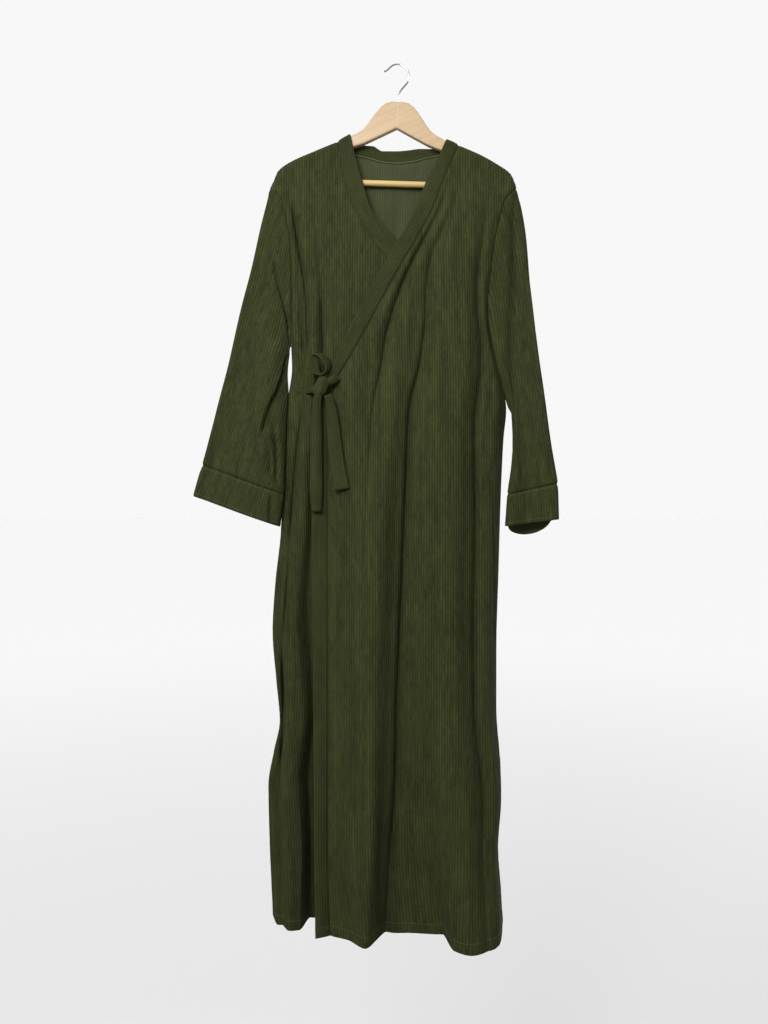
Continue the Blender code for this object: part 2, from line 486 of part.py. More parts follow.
def front_panel(folds, seam, side, shoulder, side_depths, armpit_row, outward):
    """A front, from its band seam (first column) to its armhole and side seam (last column)."""
    rows = []
    neck_x, tip_x = shoulder[0][0], shoulder[-1][0]
    for number, row in enumerate(row_depths()):
        seam_z = row_height(row, shoulder[0][1], HEM_FRONT)
        side_z = row_height(row, TIP_LEVEL, HEM_FRONT)
        seam_x, side_x = on_line(seam, seam_z), on_line(side, side_z)
        points = []
        for index, t in columns_of(folds):
            here, there = folds[index], folds[index + 1]
            top_share = here.shoulder + (there.shoulder - here.shoulder) * t
            top = height_on(shoulder, neck_x + (tip_x - neck_x) * top_share)
            z = row_height(row, top, HEM_FRONT)
            low = at_level(here.share, z, here.shoulder)
            high = at_level(there.share, z, there.shoulder)
            x = seam_x + (side_x - seam_x) * (low + (high - low) * t)
            y_here = at_level(here.depth, z, -CAP_RADIUS)
            y_there = (side_y(side_depths, z, number, armpit_row, -1) if there.depth is None
                       else at_level(there.depth, z, -CAP_RADIUS))
            y = y_here + (y_there - y_here) * smooth(t)
            points.append(Vector((x, y * cap(top - z), z)))
        rows.append(points)
    return Sheet(rows, outward)


def eased_side(tip_x, side_x, share_inside, depth):
    """X of a side as the columns feel it: near the shoulder only those close to the armhole follow it in."""
    near = max(0.0, 1 - share_inside / ARMHOLE_REACH)
    return tip_x + (side_x - tip_x) * (near + (1 - near) * smooth(depth / SHOULDER_REACH))


def back_top(x):
    """Top edge of the back at an X: right shoulder, neckline, left shoulder. Gives (y, z)."""
    if x <= NECKLINE[0][0]:
        return 0.0, height_on(SHOULDER_RIGHT, x)
    if x >= NECKLINE[-1][0]:
        return 0.0, height_on(SHOULDER_LEFT, x)
    keys = [p[0] for p in NECKLINE]
    return along(keys, [p[1] for p in NECKLINE], x), along(keys, [p[2] for p in NECKLINE], x)


def back_panel():
    """The back in one piece, from the right side (first column) to the left."""
    rows = []
    folds = BACK_FOLDS
    for number, row in enumerate(row_depths()):
        side_z = row_height(row, TIP_LEVEL, HEM_FRONT)
        right_x, left_x = on_line(SIDE_RIGHT, side_z), on_line(SIDE_LEFT, side_z)
        top_right, top_left = folds[0].shoulder, folds[-1].shoulder
        points = []
        for index, t in columns_of(folds):
            here, there = folds[index], folds[index + 1]
            top_x = here.shoulder + (there.shoulder - here.shoulder) * t
            top_y, top = back_top(top_x)
            inward = min(1.0, min(top_x - top_right, top_left - top_x) / (top_left - top_right) / HEM_EASE)
            z = row_height(row, top, HEM_FRONT + (HEM_BACK - HEM_FRONT) * inward)
            low = at_level(here.share, z, (here.shoulder - top_right) / (top_left - top_right))
            high = at_level(there.share, z, (there.shoulder - top_right) / (top_left - top_right))
            share = low + (high - low) * t
            near_right = eased_side(top_right, right_x, share, top - z)
            near_left = eased_side(top_left, left_x, 1 - share, top - z)
            x = near_right + (near_left - near_right) * share
            y_here = (side_y(SIDE_DEPTH_RIGHT, z, number, ARMPIT_ROW_RIGHT, 1) if here.depth is None
                      else at_level(here.depth, z, CAP_RADIUS))
            y_there = (side_y(SIDE_DEPTH_LEFT, z, number, ARMPIT_ROW_LEFT, 1) if there.depth is None
                       else at_level(there.depth, z, CAP_RADIUS))
            y = y_here + (y_there - y_here) * smooth(t)
            points.append(Vector((x, top_y + (y - top_y) * cap(top - z), z)))
        rows.append(points)
    return Sheet(rows, 1)


def front_band(panel, edge, edge_depths, outward):
    """Band down a front's free edge, from its seam (first column) to its fold (last column)."""
    rows = []
    edge_top = edge[0][1]
    for number, row in enumerate(row_depths()):
        start = panel.rows[number][0]
        z = row_height(row, edge_top, HEM_FRONT)
        y = at_level(edge_depths, z, -CAP_RADIUS) * cap(edge_top - z)
        end = Vector((on_line(edge, z), y, z))
        rows.append([start.lerp(end, t) for t in (0.0, 0.5, 1.0)])
    return Sheet(rows, outward)


def back_band(back, first, last):
    """Band round the back of the neck, standing up from the neckline."""
    rows = []
    for j in range(first, last + 1):
        start = back.rows[0][j]
        share = (j - first) / (last - first)
        end = Vector([along(list(range(len(NECK_EDGE))), [p[axis] for p in NECK_EDGE],
                            share * (len(NECK_EDGE) - 1)) for axis in range(3)])
        rows.append([start.lerp(end, t) for t in (0.0, 0.5, 1.0)])
    return Sheet(rows, 1)


def armhole(front, back, back_column, armpit_row):
    """The places round an armhole: down the front from the shoulder tip, and up the back."""
    last = len(front.rows[0]) - 1
    down = [(front, i, last) for i in range(armpit_row + 1)]
    up = [(back, i, back_column) for i in range(armpit_row - 1, 0, -1)]
    return down + up


def sleeve_section(plan, hole, outer, inner, share, armpit_row, grow=0.0, flare=0.0):
    """One ring of a sleeve between its outer and inner edge, in the order of the armhole's places."""
    start, end = Vector(plan.outer[0]), Vector(plan.inner[0])
    chord = end - start
    leave = smooth(share / SLEEVE_LEAVES)
    ring = []
    for number, (sheet, i, j) in enumerate(hole):
        base = sheet.rows[i][j]
        flat = Vector((base.x, base.z))
        t = min(max((flat - start).dot(chord) / chord.length_squared, 0.0), 1.0)
        spot = outer.lerp(inner, t)
        bend = (flat - start.lerp(end, t)) * (1 - leave)
        sign = -1 if number < armpit_row else 1
        round_out = math.sqrt(1 - (1 - min(t / OUTER_ROUND, 1.0)) ** 2)
        round_in = math.sqrt(1 - (1 - min((1 - t) / INNER_ROUND, 1.0)) ** 2)
        gap = (plan.half_gap + grow) * round_out * round_in
        wave = plan.swing * math.sin(math.pi * (WAVE[0] * t + WAVE[1])) * smooth(share * WAVE_RATE)
        middle = plan.forward * smooth(share) + wave
        y = base.y + (middle + sign * gap - base.y) * leave
        drop = -flare * smooth((y - middle) / (2 * plan.half_gap) + 0.5) if flare else 0.0
        ring.append(Vector((spot.x + bend.x, y, spot.y + bend.y + drop)))
    return ring


def sleeve_sheets(plan, hole, armpit_row, outward):
    """The sleeve's tube from the armhole, and the cuff's tube below it."""
    rings = [[sheet.rows[i][j].copy() for sheet, i, j in hole]]
    for share in SLEEVE_STATIONS:
        outer, inner = by_share(plan.outer, share), by_share(plan.inner, share)
        flare = plan.flare * SLEEVE_FLARE * share ** 3
        rings.append(sleeve_section(plan, hole, outer, inner, share, armpit_row, 0.0, flare))
    cuff_rings = []
    for share in CUFF_STATIONS:
        outer = Vector(plan.outer[-1]).lerp(Vector(plan.cuff_outer), share)
        inner = Vector(plan.inner[-1]).lerp(Vector(plan.cuff_inner), share)
        flare = plan.flare * (SLEEVE_FLARE + (1 - SLEEVE_FLARE) * share)
        cuff_rings.append(sleeve_section(plan, hole, outer, inner, 1.0, armpit_row, CUFF_STEP * share, flare))
    rings[0][armpit_row] += (rings[1][armpit_row] - rings[0][armpit_row]).normalized() * ARMPIT_NOTCH
    return Sheet(rings, outward, closed=True), Sheet(cuff_rings, outward, closed=True)


def ribbon_sheet(ribbon):
    """A strap along its route, its width across the route and in the plane of the garment."""
    rows = []
    for step in range(len(ribbon.route) * 2 - 1):
        share = step / (len(ribbon.route) * 2 - 2)
        centre = by_share(ribbon.route, share)
        before = by_share(ribbon.route, max(0.0, share - RIBBON_AHEAD))
        after = by_share(ribbon.route, min(1.0, share + RIBBON_AHEAD))
        across = (after - before).cross(Vector((0, 1, 0))).normalized()
        half = (ribbon.width_start + (ribbon.width_end - ribbon.width_start) * share) / 2
        rows.append([centre + across * (half * side) for side in (-1, 0, 1)])
    return Sheet(rows, 1)


def loop_sheet():
    """The bow's one loop, a strap that comes back on itself above the knot."""
    rows = []
    for step in range(LOOP_STEPS):
        angle = 2 * math.pi * step / LOOP_STEPS
        x, z = LOOP_RADII[0] * math.sin(angle), LOOP_RADII[1] * math.cos(angle)
        lean_x = x * math.cos(LOOP_LEAN) - z * math.sin(LOOP_LEAN)
        lean_z = z * math.cos(LOOP_LEAN) + x * math.sin(LOOP_LEAN)
        rows.append(LOOP_CENTRE + Vector((lean_x, 0, lean_z)))
    return Sheet([[p + LOOP_HALF * side for p in rows] for side in (-1, 0, 1)], -1, closed=True)


def make_knot(look, collection):
    """The knot: a firm round lump, a little wider than deep."""
    mesh = bpy.data.meshes.new("tie_knot")
    work = bmesh.new()
    bmesh.ops.create_uvsphere(work, u_segments=KNOT_SEGMENTS[0], v_segments=KNOT_SEGMENTS[1], radius=0.5)
    for vertex in work.verts:
        vertex.co = KNOT + vertex.co * KNOT_SIZE
    work.to_mesh(mesh)
    work.free()
    return finish("tie_knot", mesh, look, collection)


def hung(x, z, y=0.0):
    """A point of the hanger in its own frame, where the tilted hanger has it."""
    cos, sin = math.cos(HANGER_TILT), math.sin(HANGER_TILT)
    return WOOD_TOP + Vector((x * cos + z * sin, y, -x * sin + z * cos))


def make_arm(name, side, look, collection):
    """One flat wooden arm: an extruded outline with its edges eased."""
    work = bmesh.new()
    outline = ARM_TOP + ARM_END + ARM_UNDER
    corners = [work.verts.new(Vector((x * side, -WOOD_THICKNESS / 2, z))) for x, z in outline]
    face = work.faces.new(corners)
    sweep = bmesh.ops.extrude_face_region(work, geom=[face])
    for item in sweep["geom"]:
        if isinstance(item, bmesh.types.BMVert):
            item.co.y += WOOD_THICKNESS
    bmesh.ops.recalc_face_normals(work, faces=work.faces)
    edges = [edge for edge in work.edges
             if len({round(v.co.y, 5) for v in edge.verts}) == 1
             and not all(abs(v.co.x) < MITRE_GAP for v in edge.verts)]
    bmesh.ops.bevel(work, geom=edges, offset=WOOD_EDGE, segments=2, profile=0.5, affect="EDGES",
                    clamp_overlap=True)
    for vertex in work.verts:
        vertex.co = hung(vertex.co.x, vertex.co.z, vertex.co.y)
    mesh = bpy.data.meshes.new(name)
    work.to_mesh(mesh)
    work.free()
    return finish(name, mesh, look, collection)


def make_bar(look, collection):
    """The round bar between the arms' ends."""
    mesh = bpy.data.meshes.new("hanger_bar")
    work = bmesh.new()
    bmesh.ops.create_cone(work, cap_ends=True, segments=BAR_SIDES, radius1=BAR_RADIUS, radius2=BAR_RADIUS,
                          depth=2 * BAR_HALF)
    for vertex in work.verts:
        vertex.co = hung(vertex.co.z, vertex.co.x - BAR_DROP, vertex.co.y)
    work.to_mesh(mesh)
    work.free()
    return finish("hanger_bar", mesh, look, collection)


def make_hook(look, collection):
    """The bent wire hook. Its inner crown is the origin, and its stem stands on the wood."""
    spline_points = [by_share(HOOK_ROUTE, step / HOOK_STEPS) for step in range(HOOK_STEPS + 1)]
    curve = bpy.data.curves.new("hanger_hook", "CURVE")
    curve.dimensions = "3D"
    curve.bevel_depth = HOOK_WIRE / 2
    curve.bevel_resolution = 2
    curve.use_fill_caps = True
    spline = curve.splines.new("POLY")
    spline.points.add(len(spline_points) - 1)
    for point, (x, z) in zip(spline.points, spline_points):
        point.co = (x, 0.0, z, 1.0)
    curve.materials.append(look)
    made = bpy.data.objects.new("hanger_hook", curve)
    collection.objects.link(made)
    return made


def join_side(front_edge, back_edge, hole, sleeve, armpit_row):
    """Normals down a side: round the armhole with the sleeve, and below it between front and back."""
    share_normals(front_edge[armpit_row:], back_edge[armpit_row:])
    ring = sleeve.row(0)
    share_normals(hole[1:armpit_row] + hole[armpit_row + 1:], ring[1:armpit_row] + ring[armpit_row + 1:])


def join_neck(front, band, back, back_column, neck_band, end):
    """Normals down a front's band seam, and where front, back and bands meet on the shoulder."""
    share_normals(front.column(0)[1:], band.column(0)[1:])
    level_normals(front.row(0))
    level_normals(band.row(0))
    share_normals([(front, 0, 0)], [(band, 0, 0)], [(back, 0, back_column)], [(neck_band, end, 0)])
    share_normals(band.row(0)[1:], neck_band.row(end)[1:])


def main():
    clear_scene()
    collection = bpy.data.collections.new("abaya_on_hanger")
    bpy.context.scene.collection.children.link(collection)
    corduroy = material("corduroy", CORDUROY_COLOUR, 0.95)
    wood = material("pale_wood", WOOD_COLOUR, 0.55)
    steel = material("steel", STEEL_COLOUR, 0.3, 1.0)

    front_left = front_panel(FRONT_LEFT_FOLDS, BAND_SEAM_LEFT, SIDE_LEFT, SHOULDER_LEFT, SIDE_DEPTH_LEFT,
                             ARMPIT_ROW_LEFT, -1)
    front_right = front_panel(FRONT_RIGHT_FOLDS, BAND_SEAM_RIGHT, SIDE_RIGHT, SHOULDER_RIGHT, SIDE_DEPTH_RIGHT,
                              ARMPIT_ROW_RIGHT, 1)
    back = back_panel()
    back_columns = columns_of(BACK_FOLDS)
    names = [fold.name for fold in BACK_FOLDS]
    neck_right = back_columns.index((names.index("crest_2"), 0.0))
    neck_left = back_columns.index((names.index("valley_4"), 0.0))
    band_left = front_band(front_left, BAND_EDGE_LEFT, BAND_EDGE_DEPTH_LEFT, 1)
    band_right = front_band(front_right, BAND_EDGE_RIGHT, BAND_EDGE_DEPTH_RIGHT, -1)
    band_back = back_band(back, neck_right, neck_left)
    hole_left = armhole(front_left, back, len(back.rows[0]) - 1, ARMPIT_ROW_LEFT)
    hole_right = armhole(front_right, back, 0, ARMPIT_ROW_RIGHT)
    sleeve_left, cuff_left = sleeve_sheets(SLEEVE_LEFT, hole_left, ARMPIT_ROW_LEFT, 1)
    sleeve_right, cuff_right = sleeve_sheets(SLEEVE_RIGHT, hole_right, ARMPIT_ROW_RIGHT, -1)

    left_column, last = len(back.rows[0]) - 1, len(front_left.rows[0]) - 1
    join_side(front_left.column(last), back.column(left_column), hole_left, sleeve_left, ARMPIT_ROW_LEFT)
    last = len(front_right.rows[0]) - 1
    join_side(front_right.column(last), back.column(0), hole_right, sleeve_right, ARMPIT_ROW_RIGHT)
    share_normals(back.row(0)[neck_right:neck_left + 1], band_back.column(0))
    level_normals(back.row(0)[:neck_right + 1])
    level_normals(back.row(0)[neck_left:])
    level_normals(band_back.row(0))
    level_normals(band_back.row(len(band_back.rows) - 1))
    join_neck(front_left, band_left, back, neck_left, band_back, len(band_back.rows) - 1)
    join_neck(front_right, band_right, back, neck_right, band_back, 0)
    share_normals([(front_left, 0, len(front_left.rows[0]) - 1)], [(back, 0, left_column)], [(sleeve_left, 0, 0)])
    share_normals([(front_right, 0, last)], [(back, 0, 0)], [(sleeve_right, 0, 0)])
    for sleeve, cuff in ((sleeve_left, cuff_left), (sleeve_right, cuff_right)):
        share_normals(sleeve.row(len(sleeve.rows) - 1), cuff.row(0))

    body = {"front_left": front_left, "front_right": front_right, "back": back, "sleeve_left": sleeve_left,
            "sleeve_right": sleeve_right, "cuff_left": cuff_left, "cuff_right": cuff_right}
    doubled = {"band_left": band_left, "band_right": band_right, "band_back": band_back, "tie_loop": loop_sheet()}
    for ribbon in TIE_RIBBONS:
        doubled[ribbon.name] = ribbon_sheet(ribbon)
    for sheets, thickness in ((body, CLOTH), (doubled, BAND_CLOTH)):
        for name, sheet in sheets.items():
            sheet.pull_back()
            cloth_object(name, sheet, thickness, corduroy, collection)
    make_knot(corduroy, collection)
    make_arm("hanger_arm_left", 1, wood, collection)
    make_arm("hanger_arm_right", -1, wood, collection)
    make_bar(wood, collection)
    make_hook(steel, collection)


main()
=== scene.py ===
"""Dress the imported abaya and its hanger: ribbed corduroy, folds, seams, stitches, tie, wood and wire.

Units are metres in the model's own frame: +Z is up, -Y is the front, +X is the viewer's right. Left and
right in names are the wearer's. The tables are in thousandths, millimetres or parts of a thousand, and
milli turns them into metres and shares.
"""
import logging
import math
from collections.abc import Sequence
from dataclasses import dataclass, field
from enum import Enum
from typing import ClassVar

import bmesh
import bpy
import numpy as np
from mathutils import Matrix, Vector


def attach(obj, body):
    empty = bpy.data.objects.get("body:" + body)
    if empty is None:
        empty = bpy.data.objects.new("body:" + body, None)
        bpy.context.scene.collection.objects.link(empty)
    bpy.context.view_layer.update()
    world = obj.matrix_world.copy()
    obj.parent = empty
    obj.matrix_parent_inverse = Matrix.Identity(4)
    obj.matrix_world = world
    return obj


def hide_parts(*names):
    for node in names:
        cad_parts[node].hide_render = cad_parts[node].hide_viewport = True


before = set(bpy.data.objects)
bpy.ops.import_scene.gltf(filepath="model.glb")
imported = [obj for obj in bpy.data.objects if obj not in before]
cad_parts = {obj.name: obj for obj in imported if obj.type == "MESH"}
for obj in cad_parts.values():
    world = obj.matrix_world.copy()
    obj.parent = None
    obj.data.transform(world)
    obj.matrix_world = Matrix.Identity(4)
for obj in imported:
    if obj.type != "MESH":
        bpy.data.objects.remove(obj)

Array = np.ndarray
Pair = tuple[float, float]
Triple = tuple[float, float, float]
Values = tuple[float, ...]
Line = Sequence[Values]
Material = bpy.types.Material
Node = bpy.types.Node
Socket = bpy.types.NodeSocket
log = logging.getLogger("abaya")

CLOTH = 0.0018
BAND_CLOTH = 0.0030
LINING_STEP = 0.0048
WALE_PITCH = 0.0048
WALE_HEIGHT = 0.0006
SAMPLES_PER_WALE = 4
TIP = -236
TIP_LEVEL = TIP / 1000
HEM_FRONT = -1.613
HEM_BACK = -1.607
HEM_EASE = 0.25
LEVEL_KEYS = (-0.216, -0.332, -0.500, -0.626, -0.856, -1.194, -1.455, HEM_FRONT)
CAP_RADIUS = 0.010
CAP_STEPS = (0.0, 0.0009, 0.0030, 0.0062, 0.0100)
ROW_SHARES = (0.030, 0.055, 0.085, 0.117, 0.150, 0.182, 0.213, 0.246, 0.280, 0.320, 0.365, 0.415, 0.465,
              0.520, 0.575, 0.630, 0.685, 0.740, 0.795, 0.850, 0.900, 0.950, 1.0)
ARMHOLE_DEPTH = 0.012
ARMHOLE_OPEN = 0.4
ARMHOLE_REACH = 0.2
SHOULDER_REACH = 0.12
FINE_ROW = 0.0085
PER_FOLD = 44
NOISE_CELLS = 64
SAME_PLACE = 1e-7
CAMERA_PLACE = (-0.0237, -1.5, -0.8405)
FOCAL = 28.05
HANGER_TILT = math.radians(1.8)
ARM_TILT = math.radians(24)


@dataclass(frozen=True)
class Fold:
    """One fold line of a panel: its place across the panel and its depth, level by level."""

    name: str
    shoulder: float
    share: Values
    depth: Values | None


@dataclass(frozen=True)
class Pinch:
    """A sharp trough along one fold line, its half width on each side, and a lip beside the crisp one."""

    fold: str
    depth: Values
    left: float
    right: float
    lip: float


@dataclass(frozen=True)
class Crease:
    """A trough (depth below 0) or ridge (above 0) along a line of (x, z) points, fading at its ends."""

    line: Line
    depth: float
    left: float
    right: float
    fade: float = 0.25


def milli(table: object) -> object:
    """Turn the thousandths of a table, however deep it is nested, into metres or shares."""
    if isinstance(table, tuple):
        return tuple(milli(part) for part in table)
    return round(table * 10) / 10000 if isinstance(table, (int, float)) else table


def entries(kind: type, *rows: tuple) -> tuple:
    """Make one fold, pinch or crease from each row of a table."""
    return tuple(kind(*milli(row)) for row in rows)


SAME = (0,) * 7
FULL = (1000,) * 7
FRONT_LEFT_FOLDS = entries(
    Fold,
    ("band_seam", 0, SAME, (-17, -20, -26, -26, -30, -36, -44)),
    ("beside_band", 50, (40, 86, 118, 103, 105, 108, 112), (-20, -26, -32, -36, -44, -56, -62)),
    ("valley_a", 110, (85, 160, 250, 221, 194, 178, 150), (-17, -19, -30, -44, -55, -66, -76)),
    ("crest_ab", 200, (160, 306, 356, 308, 263, 241, 201), (-25, -30, -38, -50, -62, -76, -89)),
    ("valley_b", 320, (260, 440, 456, 442, 403, 362, 313), (-22, -23, -25, -27, -30, -33, -36)),
    ("middle", 460, (450, 600, 595, 598, 597, 610, 640), (-26, -33, -38, -42, -44, -43, -40)),
    ("lobe_edge", 540, (550, 680, 655, 662, 665, 672, 688), (-25, -33, -38, -42.5, -48, -66, -96)),
    ("crest_lobe", 620, (650, 759, 716, 729, 740, 762, 778), (-24, -33, -38, -43, -52, -80, -112)),
    ("valley_c", 800, (857, 900, 831, 857, 863, 886, 875), (-17, -20, -22, -24, -34, -60, -98)),
    ("crest_c", 910, (930, 950, 915, 935, 930, 946, 939), (-16, -19, -24, -26, -36, -52, -80)),
    ("side", 1000, FULL, None),
)
FRONT_RIGHT_FOLDS = entries(
    Fold,
    ("band_seam", 0, SAME, (-13, -13, -13, -12, -11, -10, -8)),
    ("flat", 130, (196, 417, 462, 454, 454, 444, 458), (-14, -14, -14, -12, -10, -8, -4)),
    ("inner", 330, (430, 645, 689, 677, 659, 639, 665), (-16, -17, -17, -10, -4, 2, 8)),
    ("recess", 500, (646, 768, 811, 812, 798, 782, 800), (-13, -12, -14, -8, 0, 10, 20)),
    ("lobe_inner", 600, (700, 810, 843, 860, 867, 826, 844), (-16, -18, -22, -24, -30, -28, -26)),
    ("crest_lobe", 710, (785, 850, 880, 917, 935, 895, 897), (-17, -20, -24, -28, -34, -32, -28)),
    ("valley_side", 860, (890, 900, 920, 950, 965, 939, 941), (-10, -11, -9, -6, -4, -4, -6)),
    ("crest_side", 940, (950, 960, 962, 975, 978, 964, 958), (-13, -13, -8, -5, -2, -4, -6)),
    ("side", 1000, FULL, None),
)
BACK_FOLDS = entries(
    Fold,
    ("side_right", -238, SAME, None),
    ("crest_1", -198, (70,) * 7, (13, 13, 13, 20, 34, 44, 50)),
    ("valley_1", -157, (160, 160, 160, 170, 170, 170, 160), (13, 12, 11, 13, 20, 26, 30)),
    ("crest_2", -110, (260, 260, 270, 280, 280, 280, 270), (15, 16, 17, 23, 33, 43, 49)),
    ("neck_turn_1", -109.2, (280, 280, 290, 300, 300, 300, 290), (15, 16, 17, 23, 33, 43, 49)),
    ("neck_turn_2", -107.5, (300, 300, 310, 320, 320, 320, 310), (14, 15, 16, 20, 28, 36, 41)),
    ("neck_turn_3", -103.5, (320, 320, 330, 340, 340, 340, 330), (14, 14, 14, 17, 23, 29, 34)),
    ("valley_2", -79, (360, 360, 370, 380, 390, 390, 380), (13, 13, 13, 15, 20, 25, 29)),
    ("between_2", -53, (410, 410, 420, 430, 430, 440, 430), (13, 14, 15, 20, 28, 36, 41)),
    ("crest_3", -27, (460, 460, 470, 480, 480, 490, 490), (14, 15, 17, 25, 37, 47, 53)),
    ("between_3", 1.5, (520, 520, 520, 530, 530, 540, 550), (14, 14, 15, 20, 29, 37, 42)),
    ("valley_3", 30, (570, 570, 570, 580, 580, 590, 600), (13, 13, 13, 16, 22, 27, 31)),
    ("between_4", 56, (610, 610, 620, 630, 630, 640, 640), (14, 14, 15, 20, 28, 36, 41)),
    ("crest_4", 82, (660, 660, 670, 680, 690, 690, 690), (15, 16, 18, 25, 35, 45, 51)),
    ("neck_turn_4", 96, (680, 680, 690, 700, 710, 710, 710), (15, 16, 18, 24, 33, 42, 48)),
    ("neck_turn_5", 109.5, (700, 700, 710, 720, 730, 730, 730), (14, 15, 16, 21, 29, 37, 42)),
    ("neck_turn_6", 113.5, (720, 720, 730, 740, 750, 750, 750), (14, 14, 14, 18, 25, 31, 36)),
    ("neck_turn_7", 115.2, (740, 740, 750, 760, 770, 770, 770), (13, 13, 13, 15, 21, 26, 30)),
    ("valley_4", 116, (760, 760, 770, 780, 790, 790, 790), (13, 13, 13, 15, 21, 26, 30)),
    ("crest_5", 158, (850, 850, 860, 870, 870, 870, 870), (14, 15, 16, 22, 32, 42, 48)),
    ("valley_5", 193, (930,) * 7, (13, 13, 13, 16, 24, 30, 34)),
    ("side_left", 224.5, FULL, None),
)
SHOULDER_RIGHT = milli(((-110, -146.5), (-157, -165.5), (-197, -183.2), (-222, -201.5), (-230, -220),
    (-238, TIP)))
SHOULDER_LEFT = milli(((116, -153), (156, -170.5), (188, -188.5), (213, -206.5), (220.5, -222),
    (224.5, TIP)))
SIDE_RIGHT = milli(((-238, TIP), (-217, -252), (-210, -282), (-200, -333), (-197, -412), (-198, -530),
    (-196.5, -570), (-203, -620), (-210.5, -690), (-214, -762), (-217.5, -870), (-229, -979),
    (-234, -1064), (-227, -1159), (-221, -1235), (-232, -1292), (-243, -1359), (-241, -1482),
    (-236, -1613)))
SIDE_LEFT = milli(((224.5, TIP), (202, -260), (193, -292), (184, -329), (176, -386), (170, -461),
    (173, -508), (192, -583), (203, -621), (206, -648), (201, -704), (196, -818), (192, -950),
    (188, -1101), (188, -1205), (196, -1328), (197, -1375), (191, -1470), (196, -1546), (200, -1613)))
BAND_SEAM_LEFT = milli(((116, -153), (86, -224), (68, -273), (41, -325), (14, -371), (-27, -444),
    (-53, -493), (-91, -561), (-113, -599), (-125, -634), (-128, -680), (-128, -856), (-127, -1194),
    (-127, -1455), (-122, -1613)))
BAND_EDGE_LEFT = milli(((93.5, -141.5), (78, -176), (57, -218), (38, -268), (22, -302), (-14, -363),
    (-43, -413), (-67, -458), (-83, -490), (-118, -566), (-143, -606), (-156, -660), (-157, -856),
    (-154, -1194), (-151, -1455), (-148, -1613)))
BAND_SEAM_RIGHT = milli(((-110, -146.5), (-101, -203), (-87, -253), (-44, -333), (-16, -369),
    (62, -500), (106, -590), (120, -660), (122, -856), (122, -1613)))
BAND_EDGE_RIGHT = milli(((-87, -132), (-80, -166), (-67, -211), (-48, -273), (-17, -312), (8, -343),
    (86, -475), (130, -565), (147, -640), (150, -856), (150, -1613)))
NECKLINE = milli(((-110, 0, -146.5), (-109.2, 5.5, -148.2), (-107.5, 8.8, -152),
    (-103.5, 11.2, -157.5), (-91, 12.2, -164), (-79, 12.5, -167.5), (-53, 13, -173.5), (-27, 13, -180.5),
    (1.5, 13, -183), (30, 13, -180), (56, 13, -173.5), (82, 12.5, -168), (96, 12.2, -165),
    (109.5, 11.2, -161.5), (113.5, 8.8, -157.5), (115.2, 5.5, -154.6), (116, 0, -153)))
NECK_EDGE = milli(((-87, 0, -132), (-86.6, 5.5, -133.6), (-85.6, 8.8, -137), (-83, 10.8, -141),
    (-74, 11.5, -144), (-60, 12, -146), (-44, 12, -147.5), (-26, 12, -157), (-2, 12, -157),
    (20, 12, -155.5), (46, 12, -152.5), (68, 12, -152.5), (80, 11.5, -152), (90, 10.8, -149),
    (92.5, 8.8, -146), (93.2, 5.5, -143.1), (93.5, 0, -141.5)))
BAND_EDGE_DEPTH_LEFT = milli((-20, -23, -30, -30, -34, -44, -56))
BAND_EDGE_DEPTH_RIGHT = milli((-12, -12, -12, -11, -10, -9, -7))
SIDE_DEPTH_RIGHT = milli((0, 0, 0, 3, 9, 18, 28))
SIDE_DEPTH_LEFT = milli((0, 0, 0, 2, 4, 6, 8))
FRONT_LEFT_PINCHES = entries(
    Pinch,
    ("valley_a", (4.2, 5.6, 4.6, 1.4, 0, 0, 0), 3, 5.8, 250),
    ("valley_b", (2.4, 5, 8.5, 11, 11, 9, 5), 3.8, 10.5, 300),
    ("valley_c", (4.5, 7, 8.5, 9, 8.5, 5, 1), 7.5, 3, 200),
)
FRONT_LEFT_CREASES = entries(
    Crease,
    (((176, -700), (180, -950), (178, -1150)), -4.5, 8, 4),
    (((100, -520), (98, -850), (104, -1200)), 3, 16, 12),
    (((60, -300), (92, -620)), -2.2, 10, 10),
)
FRONT_RIGHT_CREASES = entries(
    Crease,
    (((-198.5, -255), (-182.5, -355), (-170.5, -433), (-164.5, -560)), -8.5, 2.8, 7.5, 130),
    (((-183, -450), (-172, -555)), -4, 4, 6),
    (((-141, -425), (-137, -575)), -6.5, 3.5, 6.5),
    (((-170, -600), (-174.5, -640), (-186, -730), (-195.5, -850), (-203, -960), (-212, -1100),
      (-217, -1400)), -15, 4, 11, 100),
)
BACK_CREASES = entries(
    Crease,
    (((50, -280), (30, -550), (40, -950)), -7, 7, 14),
    (((-90, -330), (-112, -700), (-100, -1250)), -7.5, 15, 8),
    (((120, -550), (142, -1000), (130, -1450)), -7, 8, 16),
    (((-30, -620), (-45, -1000), (-36, -1500)), -8, 9, 18),
    (((-165, -280), (-150, -400), (-158, -620)), -6, 6, 12),
    (((150, -260), (138, -400), (150, -580)), -6, 12, 6),
    (((4, -240), (-6, -450)), 4, 16, 16),
    (((82, -900), (78, -1200), (88, -1520)), 6, 16, 12),
)
SLEEVE_RIGHT_OUTER = milli(((-238, TIP), (-253, -301), (-270, -376), (-287, -442), (-309, -536),
    (-332, -630), (-353, -716), (-362, -753)))
SLEEVE_RIGHT_INNER = milli(((-198, -530), (-200.3, -532.5), (-202, -550), (-204.5, -583),
    (-202.5, -621), (-205, -668), (-207, -715), (-208.5, -780), (-209, -808)))
SLEEVE_LEFT_OUTER = milli(((224.5, TIP), (234, -273), (243, -339), (249, -423), (256, -498),
    (270, -602), (283, -705), (296, -788)))
SLEEVE_LEFT_INNER = milli(((203, -622), (205, -624.5), (208, -641), (216.5, -660), (218.5, -700),
    (215.5, -739), (211, -780), (207, -807)))
